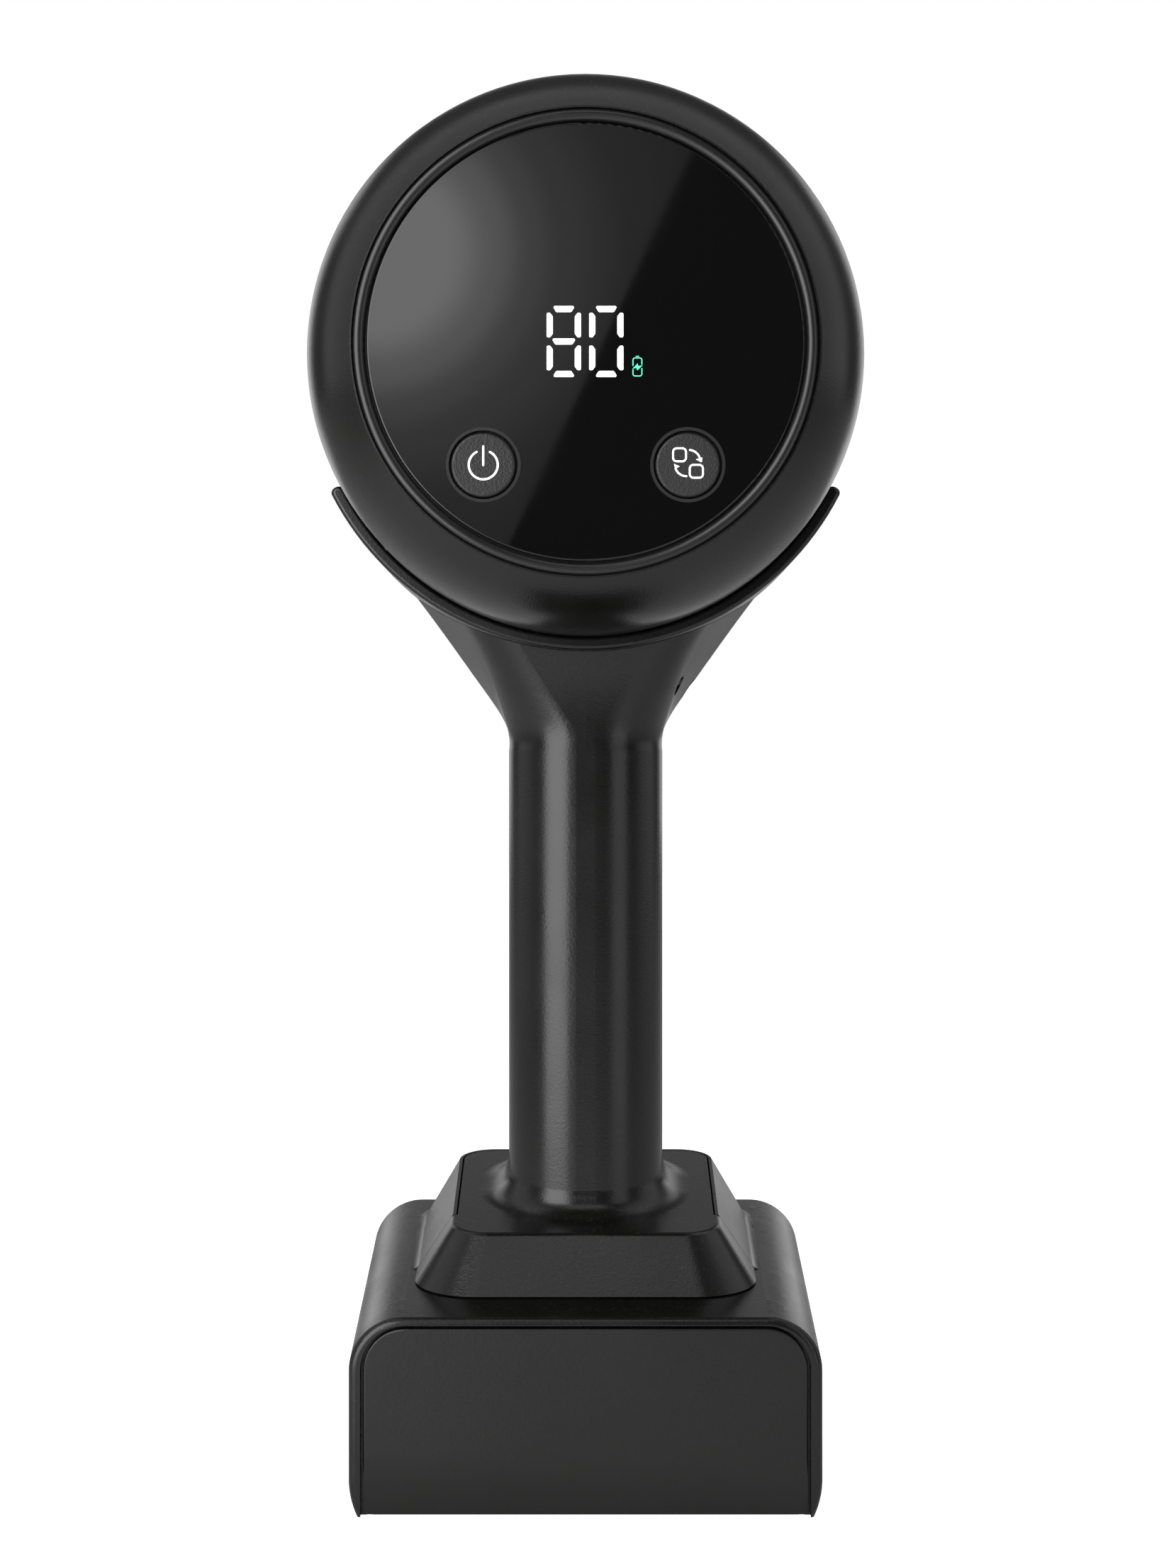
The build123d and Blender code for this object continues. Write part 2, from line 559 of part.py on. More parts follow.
# battery: two cells side by side, in two layers
CELL_R = 9.15
CELL_H = 61.0
CELL_YS = (GRIP_MID - 9.5, GRIP_MID + 9.5)
CELL_BASES = (61.0, 123.6)
with BuildPart() as battery_cells:
    for cell_base in CELL_BASES:
        for cell_y in CELL_YS:
            post(0, cell_y, cell_base, cell_base + CELL_H, CELL_R)
    fillet(battery_cells.edges(), 0.8)
battery_cells.part.label = "battery_cells"
export_step(battery_cells.part, "parts/battery_cells.step")

with BuildPart() as battery_straps:
    for cell_base in CELL_BASES:
        for strap_z in (cell_base - 0.3, cell_base + CELL_H):
            block((-3.5, 3.5), (GRIP_MID - 14, GRIP_MID + 14), (strap_z, strap_z + 0.3))
battery_straps.part.label = "battery_straps"
export_step(battery_straps.part, "parts/battery_straps.step")

CAP_HALF = CAVITY_HALF - 0.3
CAP_RUN = GRIP_BACK - GRIP_FRONT - 2 * SHELL_WALL - 0.6
with BuildPart() as battery_cap_lower:
    with BuildSketch(Plane.XY.offset(57.5)):
        with Locations((0, GRIP_MID)):
            RectangleRounded(2 * CAP_HALF, CAP_RUN, GRIP_CORNER - SHELL_WALL - 0.3)
    extrude(amount=3.2)
battery_cap_lower.part.label = "battery_cap_lower"
export_step(battery_cap_lower.part, "parts/battery_cap_lower.step")

with BuildPart() as battery_cap_upper:
    with BuildSketch(Plane.XY.offset(185.0)):
        with Locations((0, GRIP_MID)):
            RectangleRounded(2 * CAP_HALF, CAP_RUN, GRIP_CORNER - SHELL_WALL - 0.3)
    extrude(amount=2.8)
battery_cap_upper.part.label = "battery_cap_upper"
export_step(battery_cap_upper.part, "parts/battery_cap_upper.step")

with BuildPart() as battery_board:
    block((10.4, 11.8), (GRIP_MID - 11, GRIP_MID + 11), (66, 118))
    block((11.8, 14.2), (GRIP_MID - 6, GRIP_MID + 2), (80, 90))
    block((11.8, 13.4), (GRIP_MID - 6, GRIP_MID + 6), (98, 103))
battery_board.part.label = "battery_board"
export_step(battery_board.part, "parts/battery_board.step")

with BuildPart() as main_board:
    block((-11.8, -10.4), (GRIP_MID - 11, GRIP_MID + 11), (126, 180))
    block((-13.8, -11.8), (GRIP_MID - 5, GRIP_MID + 5), (142, 152))
    block((-14.4, -11.8), (GRIP_MID - 8, GRIP_MID - 2), (162, 168))
    block((-13.2, -11.8), (GRIP_MID + 2, GRIP_MID + 8), (160, 170))
main_board.part.label = "main_board"
export_step(main_board.part, "parts/main_board.step")

# cradle under the drum
with BuildPart() as head_cradle:
    with BuildSketch(facing_user(CRADLE_BACK)):
        start = -90 - CRADLE_HALF_ANGLE
        with BuildLine():
            outer = CenterArc((0, 0), CRADLE_OUT, start, 2 * CRADLE_HALF_ANGLE)
            inner = CenterArc((0, 0), CRADLE_IN, start, 2 * CRADLE_HALF_ANGLE)
            Line(outer @ 0, inner @ 0)
            Line(outer @ 1, inner @ 1)
        make_face()
    extrude(amount=CRADLE_BACK - CRADLE_FRONT)
    fillet(head_cradle.edges().filter_by(Axis.Y), 1.4)
    fillet(head_cradle.faces().sort_by(Axis.Y)[0].edges(), 1.0)
head_cradle.part.label = "head_cradle"
export_step(head_cradle.part, "parts/head_cradle.step")


# ================================================================ head
SPIGOT = 6.0
DRUM_IN = DRUM_R - DRUM_WALL
GEAR_PLATE_R = 56.0
HEAD_BOSS_R = 60.4
HEAD_BOSS_ANGLES = [60 * step + 30 for step in range(6)]


def around(radius, angle):
    """(x, z) offset from the head's axis; angle in degrees from +X."""
    return radius * cos(radians(angle)), radius * sin(radians(angle))


with BuildPart() as drum_shell:
    disc(DRUM_BACK, DRUM_FRONT, DRUM_R)
    disc(DRUM_BACK, DRUM_FRONT, DRUM_IN, mode=Mode.SUBTRACT)
    for angle in HEAD_BOSS_ANGLES:
        x, z = around(HEAD_BOSS_R, angle)
        disc(20, DRUM_FRONT, 3.9, x, z)
        disc(26, DRUM_FRONT, 1.3, x, z, mode=Mode.SUBTRACT)
drum_shell.part.label = "drum_shell"
export_step(drum_shell.part, "parts/drum_shell.step")

# cone of the display side, with a ledge behind the bezel and a spigot into the drum
LEDGE_Y = -53.8
with BuildPart() as rear_ring:
    with BuildSketch(HEAD_PROFILE):
        with BuildLine():
            Line((FACE_Y, BEZEL_OUT + FIT), (FACE_Y, BEZEL_OUT + 0.5))
            ThreePointArc((FACE_Y, BEZEL_OUT + 0.5), CONE_MID, (DRUM_BACK, DRUM_R))
            Polyline(
                (DRUM_BACK, DRUM_R), (DRUM_BACK, DRUM_IN - FIT), (DRUM_BACK + SPIGOT, DRUM_IN - FIT),
                (DRUM_BACK + SPIGOT, DRUM_IN - 2.4), (-38.0, DRUM_IN - 2.4), (-47.5, 57.6),
                (-51.8, 55.0), (-51.8, 50.6), (LEDGE_Y, 50.6), (LEDGE_Y, BEZEL_OUT + FIT),
                (FACE_Y, BEZEL_OUT + FIT),
            )
        make_face()
    revolve(axis=HEAD_AXIS)
rear_ring.part.label = "rear_ring"
export_step(rear_ring.part, "parts/rear_ring.step")

# convex ring round the glass, with a lip that carries the glass from behind
GLASS_BACK = FACE_Y + GLASS_T
with BuildPart() as bezel_ring:
    with BuildSketch(HEAD_PROFILE):
        with BuildLine():
            bezel_top = (FACE_Y, (BEZEL_IN + BEZEL_OUT) / 2)
            ThreePointArc((FACE_Y + 0.9, BEZEL_IN), bezel_top, (FACE_Y + 0.9, BEZEL_OUT))
            Polyline(
                (FACE_Y + 0.9, BEZEL_OUT), (LEDGE_Y, BEZEL_OUT), (LEDGE_Y, 49.6), (GLASS_BACK + 0.5, 49.6),
                (GLASS_BACK + 0.5, BEZEL_IN), (FACE_Y + 0.9, BEZEL_IN),
            )
        make_face()
    revolve(axis=HEAD_AXIS)
bezel_ring.part.label = "bezel_ring"
export_step(bezel_ring.part, "parts/bezel_ring.step")

with BuildPart() as display_glass:
    disc(FACE_Y + GLASS_INSET, GLASS_BACK, GLASS_R)
    fillet(display_glass.edges().sort_by(Axis.Y)[0], 0.5)
    for side in (-1, 1):
        disc(FACE_Y - 1, 0, BUTTON_HOLE, side * BUTTON_X, -BUTTON_DROP, mode=Mode.SUBTRACT)
display_glass.part.label = "display_glass"
export_step(display_glass.part, "parts/display_glass.step")

with BuildPart() as glass_gasket:
    disc(GLASS_BACK, GLASS_BACK + 0.5, 50.9)
    disc(GLASS_BACK, GLASS_BACK + 0.5, 49.8, mode=Mode.SUBTRACT)
glass_gasket.part.label = "glass_gasket"
export_step(glass_gasket.part, "parts/glass_gasket.step")

BOARD_FRONT = -50.8
BOARD_BACK = -49.2
with BuildPart() as display_board:
    disc(BOARD_FRONT, BOARD_BACK, 48.6)
    for part_x in (-18, -6, 6, 18):
        block((part_x - 2, part_x + 2), (BOARD_FRONT - 1.2, BOARD_FRONT), (HEAD_Z + 18, HEAD_Z + 22))
    block((-8, 8), (BOARD_FRONT - 2.6, BOARD_FRONT), (HEAD_Z - 32, HEAD_Z - 26))
display_board.part.label = "display_board"
export_step(display_board.part, "parts/display_board.step")

with BuildPart() as digit_module:
    block((-11, 16), (GLASS_BACK + 0.2, BOARD_FRONT), (HEAD_Z - 10, HEAD_Z + 10))
    fillet(digit_module.edges().filter_by(Axis.Y), 1)
digit_module.part.label = "digit_module"
export_step(digit_module.part, "parts/digit_module.step")

with BuildPart() as display_carrier:
    disc(BOARD_BACK, BOARD_BACK + 2.2, 54.0)
    disc(BOARD_BACK - 1, BOARD_BACK + 3, 15, 0, 20, mode=Mode.SUBTRACT)
    for angle in (45, 135, 225, 315):
        x, z = around(51.2, angle)
        disc(-51.75, BOARD_BACK + 0.5, 2.2, x, z)
display_carrier.part.label = "display_carrier"
export_step(display_carrier.part, "parts/display_carrier.step")

with BuildPart() as button_trims:
    for side in (-1, 1):
        disc(FACE_Y, GLASS_BACK, TRIM_OUT, side * BUTTON_X, -BUTTON_DROP)
        disc(FACE_Y - 1, 0, TRIM_IN, side * BUTTON_X, -BUTTON_DROP, mode=Mode.SUBTRACT)
button_trims.part.label = "button_trims"
export_step(button_trims.part, "parts/button_trims.step")

CAP_FRONT = FACE_Y + 0.3
STEM_END = -55.3
with BuildPart() as tactile_switches:
    for side in (-1, 1):
        x = side * BUTTON_X
        z = HEAD_Z - BUTTON_DROP
        block((x - 3, x + 3), (BOARD_FRONT - 2.5, BOARD_FRONT), (z - 3, z + 3))
        disc(BOARD_FRONT - 3.3, BOARD_FRONT - 2, 1.7, x, -BUTTON_DROP)
tactile_switches.part.label = "tactile_switches"
export_step(tactile_switches.part, "parts/tactile_switches.step")


def button_cap(x):
    """Domed cap with a retaining flange behind the glass and a stem towards its switch."""
    with BuildPart() as cap:
        disc(CAP_FRONT, -56.4, CAP_R, x, -BUTTON_DROP)
        fillet(cap.edges().sort_by(Axis.Y)[0], 0.8)
        disc(-57.1, -56.3, TRIM_OUT + 0.5, x, -BUTTON_DROP)
        disc(-56.4, STEM_END, 1.9, x, -BUTTON_DROP)
    return cap.part


with BuildPart() as power_button:
    add(button_cap(-BUTTON_X))
power_button.part.label = "power_button"
export_step(power_button.part, "parts/power_button.step")

with BuildPart() as mode_button:
    add(button_cap(BUTTON_X))
mode_button.part.label = "mode_button"
export_step(mode_button.part, "parts/mode_button.step")


# ================================================================ motor and gears
CAN_BACK = -38.0
CAN_R = 18.0
BUSH_R = 4.0
with BuildPart() as motor_can:
    disc(CAN_BACK, -FIT, CAN_R)
    disc(CAN_BACK, -2, CAN_R - 1.3, mode=Mode.SUBTRACT)
    disc(-FIT, PLATE_T - 0.2, 6)
    disc(-3, PLATE_T, BUSH_R + 0.02, mode=Mode.SUBTRACT)
motor_can.part.label = "motor_can"
export_step(motor_can.part, "parts/motor_can.step")

with BuildPart() as motor_end_cap:
    disc(CAN_BACK - 2.4, CAN_BACK, CAN_R)
    disc(CAN_BACK - 3, CAN_BACK, BUSH_R + 0.02, mode=Mode.SUBTRACT)
    for side in (-1, 1):
        disc(CAN_BACK - 4.4, CAN_BACK - 2.4, 1.6, side * 10, 4)
motor_end_cap.part.label = "motor_end_cap"
export_step(motor_end_cap.part, "parts/motor_end_cap.step")

with BuildPart() as motor_magnets:
    disc(-35, -7, CAN_R - 1.35)
    disc(-36, -6, 13.4, mode=Mode.SUBTRACT)
    block((-30, 30), (-40, 0), (HEAD_Z - 5, HEAD_Z + 5), mode=Mode.SUBTRACT)
motor_magnets.part.label = "motor_magnets"
export_step(motor_magnets.part, "parts/motor_magnets.step")

with BuildPart() as motor_bushes:
    disc(CAN_BACK - 2.8, CAN_BACK + 1, BUSH_R)
    disc(-3, PLATE_T - 0.2, BUSH_R)
    disc(-50, 10, ROTOR_R + FIT, mode=Mode.SUBTRACT)
motor_bushes.part.label = "motor_bushes"
export_step(motor_bushes.part, "parts/motor_bushes.step")

with BuildPart() as rotor_core:
    disc(-33, -9, 12.4)
    with BuildSketch(facing_user(-5)):
        with PolarLocations(12.4, 7):
            Rectangle(7, 1.6)
    extrude(amount=30, mode=Mode.SUBTRACT)
    disc(-40, 0, ROTOR_R, mode=Mode.SUBTRACT)
rotor_core.part.label = "rotor_core"
export_step(rotor_core.part, "parts/rotor_core.step")

STAGE_ONE = (4.2, 10.0)
STAGE_TWO = (13.0, 20.5)
with BuildPart() as rotor_shaft:
    disc(CAN_BACK - 3.4, STAGE_ONE[1] + 0.6, ROTOR_R)
rotor_shaft.part.label = "rotor_shaft"
export_step(rotor_shaft.part, "parts/rotor_shaft.step")


def gear(teeth, first_tooth, span, z, bore):
    """Spur gear on an axis along Y, z above the head's axis."""
    with BuildPart() as wheel:
        with BuildSketch(facing_user(span[1], HEAD_Z + z)):
            add(gear_profile(teeth, first_tooth))
            Circle(bore, mode=Mode.SUBTRACT)
        extrude(amount=span[1] - span[0])
    return wheel.part


with BuildPart() as motor_pinion:
    add(gear(SMALL_TEETH, 90, STAGE_ONE, 0, ROTOR_R))
motor_pinion.part.label = "motor_pinion"
export_step(motor_pinion.part, "parts/motor_pinion.step")

with BuildPart() as counter_gear:
    add(gear(LARGE_TEETH, 0, STAGE_ONE, CENTRES, COUNTER_R))
    disc(STAGE_ONE[0] - 1, STAGE_ONE[0] + 1.6, 18, 0, CENTRES, mode=Mode.SUBTRACT)
    disc(STAGE_ONE[0], STAGE_ONE[0] + 1.6, 6, 0, CENTRES)
    disc(0, 30, COUNTER_R, 0, CENTRES, mode=Mode.SUBTRACT)
counter_gear.part.label = "counter_gear"
export_step(counter_gear.part, "parts/counter_gear.step")

with BuildPart() as counter_pinion:
    add(gear(SMALL_TEETH, -90, STAGE_TWO, CENTRES, COUNTER_R))
counter_pinion.part.label = "counter_pinion"
export_step(counter_pinion.part, "parts/counter_pinion.step")

with BuildPart() as countershaft:
    disc(GEARBOX_BACK + 0.5, GEARBOX_COVER + PLATE_T - 0.5, COUNTER_R, 0, CENTRES)
countershaft.part.label = "countershaft"
export_step(countershaft.part, "parts/countershaft.step")

with BuildPart() as output_gear:
    add(gear(LARGE_TEETH, 0, STAGE_TWO, 0, OUTPUT_R))
    with BuildSketch(facing_user(30)):
        with PolarLocations(12.5, 5):
            Circle(3.6)
    extrude(amount=30, mode=Mode.SUBTRACT)
output_gear.part.label = "output_gear"
export_step(output_gear.part, "parts/output_gear.step")

BUSH_OUT = 5.2
POST_ANGLES = (38, 142, 218, 322)
POST_RADIUS = 50.0
with BuildPart() as gearbox_plate:
    disc(GEARBOX_BACK, PLATE_T, DRUM_IN - FIT)
    disc(-1, 5, 6.05, mode=Mode.SUBTRACT)
    disc(-1, 5, BUSH_OUT + 0.02, 0, CENTRES, mode=Mode.SUBTRACT)
    # lightening windows beside and below the motor
    for angle in (180, 270, 0):
        x, z = around(38, angle)
        disc(-1, 5, 11, x, z, mode=Mode.SUBTRACT)
gearbox_plate.part.label = "gearbox_plate"
export_step(gearbox_plate.part, "parts/gearbox_plate.step")

BEARING_OUT = 9.5
BEARING_SPANS = ((24.2, 28.2), (31.6, 35.6))
with BuildPart() as gearbox_cover:
    disc(GEARBOX_COVER, GEARBOX_COVER + PLATE_T, GEAR_PLATE_R)
    disc(GEARBOX_COVER, 35.6, BEARING_OUT + 2.6)
    disc(GEARBOX_COVER - 1, 40, BEARING_OUT + 0.02, mode=Mode.SUBTRACT)
    disc(20, 30, BUSH_OUT + 0.02, 0, CENTRES, mode=Mode.SUBTRACT)
    for angle in POST_ANGLES:
        x, z = around(POST_RADIUS, angle)
        disc(20, 30, 1.65, x, z, mode=Mode.SUBTRACT)
gearbox_cover.part.label = "gearbox_cover"
export_step(gearbox_cover.part, "parts/gearbox_cover.step")

with BuildPart() as gearbox_posts:
    for angle in POST_ANGLES:
        x, z = around(POST_RADIUS, angle)
        disc(PLATE_T, GEARBOX_COVER, 4, x, z)
        disc(15, 30, 1.65, x, z, mode=Mode.SUBTRACT)
gearbox_posts.part.label = "gearbox_posts"
export_step(gearbox_posts.part, "parts/gearbox_posts.step")

with BuildPart() as gearbox_screws:
    for angle in POST_ANGLES:
        x, z = around(POST_RADIUS, angle)
        disc(16, GEARBOX_COVER + PLATE_T, 1.6, x, z)
        disc(GEARBOX_COVER + PLATE_T, GEARBOX_COVER + PLATE_T + 2.2, 3.1, x, z)
gearbox_screws.part.label = "gearbox_screws"
export_step(gearbox_screws.part, "parts/gearbox_screws.step")

with BuildPart() as shaft_bushes:
    for span in ((GEARBOX_BACK, PLATE_T), (GEARBOX_COVER, GEARBOX_COVER + PLATE_T)):
        disc(span[0], span[1], BUSH_OUT, 0, CENTRES)
    disc(-5, 40, COUNTER_R + FIT, 0, CENTRES, mode=Mode.SUBTRACT)
shaft_bushes.part.label = "shaft_bushes"
export_step(shaft_bushes.part, "parts/shaft_bushes.step")

with BuildPart() as output_bearings:
    for span in BEARING_SPANS:
        disc(span[0], span[1], BEARING_OUT)
        groove = (span[0] - 0.1, span[0] + 0.5)
        disc(groove[0], groove[1], 8.0, mode=Mode.SUBTRACT)
    disc(20, 40, OUTPUT_R + FIT, mode=Mode.SUBTRACT)
output_bearings.part.label = "output_bearings"
export_step(output_bearings.part, "parts/output_bearings.step")

# treatment side: front ring, seal and massage plate
PLATE_R = 56.0
PLATE_BACK = 42.2
PLATE_FACE = 46.6
RING_FRONT = 47.0
WEB = 2.4
with BuildPart() as front_ring:
    with BuildSketch(HEAD_PROFILE):
        with BuildLine():
            Polyline(
                (DRUM_FRONT, DRUM_R), (DRUM_FRONT, 11.2), (DRUM_FRONT + WEB, 11.2), (DRUM_FRONT + WEB, 57.6),
                (RING_FRONT, 57.6), (RING_FRONT, 61.0),
            )
            ThreePointArc((RING_FRONT, 61.0), (RING_FRONT - 1.7, 64.9), (RING_FRONT - 5.6, DRUM_R))
            Line((RING_FRONT - 5.6, DRUM_R), (DRUM_FRONT, DRUM_R))
        make_face()
    revolve(axis=HEAD_AXIS)
    for angle in HEAD_BOSS_ANGLES:
        x, z = around(HEAD_BOSS_R, angle)
        disc(DRUM_FRONT - 1, RING_FRONT + 1, 1.55, x, z, mode=Mode.SUBTRACT)
        disc(RING_FRONT - 2.2, RING_FRONT + 1, 2.7, x, z, mode=Mode.SUBTRACT)
front_ring.part.label = "front_ring"
export_step(front_ring.part, "parts/front_ring.step")

with BuildPart() as head_screws:
    for angle in HEAD_BOSS_ANGLES:
        x, z = around(HEAD_BOSS_R, angle)
        disc(28, RING_FRONT - 2.2, 1.25, x, z)
        disc(RING_FRONT - 2.2, RING_FRONT - 0.6, 2.5, x, z)
        disc(RING_FRONT - 1.6, RING_FRONT, 1.0, x, z, mode=Mode.SUBTRACT)
head_screws.part.label = "head_screws"
export_step(head_screws.part, "parts/head_screws.step")

with BuildPart() as plate_seal:
    disc(DRUM_FRONT - 0.6, DRUM_FRONT + WEB, 11.15)
    disc(30, 50, OUTPUT_R + 0.08, mode=Mode.SUBTRACT)
plate_seal.part.label = "plate_seal"
export_step(plate_seal.part, "parts/plate_seal.step")

with BuildPart() as output_shaft:
    disc(STAGE_TWO[0] - 0.6, PLATE_FACE - 1.0, OUTPUT_R)
    disc(30, 60, 1.7, mode=Mode.SUBTRACT)
output_shaft.part.label = "output_shaft"
export_step(output_shaft.part, "parts/output_shaft.step")

with BuildPart() as massage_plate:
    disc(PLATE_BACK, PLATE_FACE, PLATE_R)
    fillet(massage_plate.edges().sort_by(Axis.Y)[-1], 1.5)
    disc(PLATE_BACK - 1, PLATE_FACE - 1.0, OUTPUT_R, mode=Mode.SUBTRACT)
    disc(30, 60, 1.8, mode=Mode.SUBTRACT)
massage_plate.part.label = "massage_plate"
export_step(massage_plate.part, "parts/massage_plate.step")

PAD_R = 53.5
PAD_T = 1.6
PAD_HOLE_R = 6.5
PAD_FACE = PLATE_FACE + PAD_T
OUTER_NODES = (44.0, 12)         # ring radius, count
INNER_NODES = (24.0, 6)
NODE_FOOT_R = 7.0
NODE_TIP_R = 4.34
NODE_FLARE = 1.2
with BuildPart() as massage_pad:
    disc(PLATE_FACE, PAD_FACE, PAD_R)
    disc(PLATE_FACE - 1, TIP_Y, PAD_HOLE_R, mode=Mode.SUBTRACT)
massage_pad.part.label = "massage_pad"
export_step(massage_pad.part, "parts/massage_pad.step")


def massage_node(x, z):
    """Rounded cone that stands on the pad with a flared foot."""
    with Locations(Plane(origin=(x, PAD_FACE, HEAD_Z + z), z_dir=(0, 1, 0))):
        Cone(NODE_FOOT_R, NODE_TIP_R, TIP_Y - PAD_FACE, align=BASE_ALIGN)
        Cone(NODE_FOOT_R + NODE_FLARE, NODE_FOOT_R - 0.3, NODE_FLARE, align=BASE_ALIGN)


with BuildPart() as massage_nodes:
    for ring_r, count in (OUTER_NODES, INNER_NODES):
        for step in range(count):
            massage_node(*around(ring_r, 360 * step / count))
    fillet(massage_nodes.edges().filter_by(lambda e: e.center().Y > TIP_Y - 0.01), 4.0)
massage_nodes.part.label = "massage_nodes"
export_step(massage_nodes.part, "parts/massage_nodes.step")

with BuildPart() as plate_screw:
    disc(34, PLATE_FACE, 1.65)
    disc(PLATE_FACE, PLATE_FACE + 2.4, 5.4)
    fillet(plate_screw.edges().sort_by(Axis.Y)[-1], 1.2)
    with BuildSketch(facing_user(PLATE_FACE + 3)):
        RegularPolygon(1.8, 6)
    extrude(amount=2.2, mode=Mode.SUBTRACT)
plate_screw.part.label = "plate_screw"
export_step(plate_screw.part, "parts/plate_screw.step")
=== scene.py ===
import json
from math import atan2, cos, pi, radians, sin, tan

import bmesh
import bpy
from bpy.props import FloatProperty, FloatVectorProperty, PointerProperty
from bpy.types import Operator, Panel, PropertyGroup
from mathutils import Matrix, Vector


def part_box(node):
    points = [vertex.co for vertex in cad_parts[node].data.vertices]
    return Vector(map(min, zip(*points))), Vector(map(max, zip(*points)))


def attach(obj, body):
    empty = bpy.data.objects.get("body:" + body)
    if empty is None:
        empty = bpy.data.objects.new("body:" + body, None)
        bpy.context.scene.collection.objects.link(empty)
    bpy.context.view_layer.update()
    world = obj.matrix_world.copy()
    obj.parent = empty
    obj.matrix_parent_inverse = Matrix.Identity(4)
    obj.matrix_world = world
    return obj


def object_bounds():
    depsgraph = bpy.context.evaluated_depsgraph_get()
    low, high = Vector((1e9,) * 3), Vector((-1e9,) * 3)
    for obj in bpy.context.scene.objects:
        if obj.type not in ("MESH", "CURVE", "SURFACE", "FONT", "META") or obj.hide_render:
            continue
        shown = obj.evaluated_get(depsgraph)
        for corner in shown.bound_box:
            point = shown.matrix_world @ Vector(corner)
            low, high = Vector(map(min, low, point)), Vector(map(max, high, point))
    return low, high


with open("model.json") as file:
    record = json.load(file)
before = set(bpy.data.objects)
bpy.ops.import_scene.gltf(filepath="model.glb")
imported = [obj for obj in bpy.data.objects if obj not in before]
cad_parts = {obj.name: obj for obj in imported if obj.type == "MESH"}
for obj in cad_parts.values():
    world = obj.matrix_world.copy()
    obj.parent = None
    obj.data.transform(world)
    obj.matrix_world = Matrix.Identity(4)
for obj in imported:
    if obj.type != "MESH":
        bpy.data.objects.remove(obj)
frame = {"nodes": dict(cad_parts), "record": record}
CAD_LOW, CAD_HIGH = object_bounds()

bl_info = {
    "name": "Handheld Massager",
    "version": (1, 0, 0),
    "blender": (4, 5, 0),
    "location": "View3D > Sidebar > Massager",
    "description": "Finishes the handheld massager and its charging dock",
    "category": "Object",
}

MM = 0.001
PREFIX = "finish_"

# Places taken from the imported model, in millimetres.
GLASS_LOW, GLASS_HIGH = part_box("display_glass")
HEAD_Z = (GLASS_LOW.z + GLASS_HIGH.z) / 2 / MM
FACE_Y = CAD_LOW.y / MM
POWER_LOW, POWER_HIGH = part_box("power_button")
MODE_LOW, MODE_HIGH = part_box("mode_button")


def middle(low, high):
    """Centre of a box in millimetres."""
    return (low + high) / 2 / MM


# ---------------------------------------------------------------- settings
class FinishSettings(PropertyGroup):
    shell_color: FloatVectorProperty(
        name="Shell colour", description="Soft-touch plastic of the handle, head and dock",
        subtype="COLOR", size=3, min=0, max=1, default=(0.0036, 0.0035, 0.0032),
    )
    shell_roughness: FloatProperty(
        name="Shell roughness", description="Roughness of the soft-touch plastic",
        min=0, max=1, default=0.25, subtype="FACTOR",
    )
    grain_size: FloatProperty(
        name="Grain size", description="Spacing of the fine moulded grain",
        min=0.0001, max=0.002, default=0.00045, unit="LENGTH",
    )
    node_color: FloatVectorProperty(
        name="Node colour", description="Silicone of the massage nodes",
        subtype="COLOR", size=3, min=0, max=1, default=(0.085, 0.087, 0.094),
    )


class DisplaySettings(PropertyGroup):
    digit_color: FloatVectorProperty(
        name="Digit colour", description="Light of the two digits and the printed symbols",
        subtype="COLOR", size=3, min=0, max=1, default=(1.0, 1.0, 1.0),
    )
    battery_color: FloatVectorProperty(
        name="Battery colour", description="Light of the battery symbol",
        subtype="COLOR", size=3, min=0, max=1, default=(0.07, 0.56, 0.36),
    )
    digit_stroke: FloatProperty(
        name="Digit stroke", description="Width of one digit segment",
        min=0.0005, max=0.003, default=0.00141, unit="LENGTH",
    )


class StageSettings(PropertyGroup):
    floor_color: FloatVectorProperty(
        name="Floor colour", description="Plain pale floor and backdrop",
        subtype="COLOR", size=3, min=0, max=1, default=(0.93, 0.93, 0.93),
    )
    floor_lift: FloatProperty(
        name="Floor lift", description="Extra brightness of the floor as the camera sees it",
        min=0, max=2, default=1.0,
    )
    key_radiance: FloatProperty(
        name="Key light", description="Brightness of the large left softbox", min=0, max=50, default=4.6,
    )
    fill_radiance: FloatProperty(
        name="Fill light", description="Brightness of the right softbox", min=0, max=50, default=0.9,
    )
    top_radiance: FloatProperty(
        name="Top light", description="Brightness of the softbox above the front", min=0, max=50, default=1.3,
    )
    rear_radiance: FloatProperty(
        name="Rear light", description="Brightness of the two softboxes behind the massager",
        min=0, max=50, default=0.8,
    )
    card_radiance: FloatProperty(
        name="Glass reflection", description="Brightness of the card reflected in the glass",
        min=0, max=50, default=3.5,
    )


# ---------------------------------------------------------------- shader building blocks
def add_node(tree, kind, **values):
    """New shader node with attributes and input defaults; a key that names an input sets its default."""
    node = tree.nodes.new(kind)
    for key, value in values.items():
        if hasattr(node, key) and key != "inputs":
            setattr(node, key, value)
        else:
            node.inputs[key.replace("_", " ")].default_value = value
    return node


def new_group(name, inputs, outputs):
    """Shader node group with float inputs {name: default} and typed outputs {name: type}."""
    group = bpy.data.node_groups.new(name, "ShaderNodeTree")
    for socket, default in inputs.items():
        made = group.interface.new_socket(socket, in_out="INPUT", socket_type="NodeSocketFloat")
        made.default_value = default
    for socket, kind in outputs.items():
        group.interface.new_socket(socket, in_out="OUTPUT", socket_type=kind)
    return group, group.nodes.new("NodeGroupInput"), group.nodes.new("NodeGroupOutput")


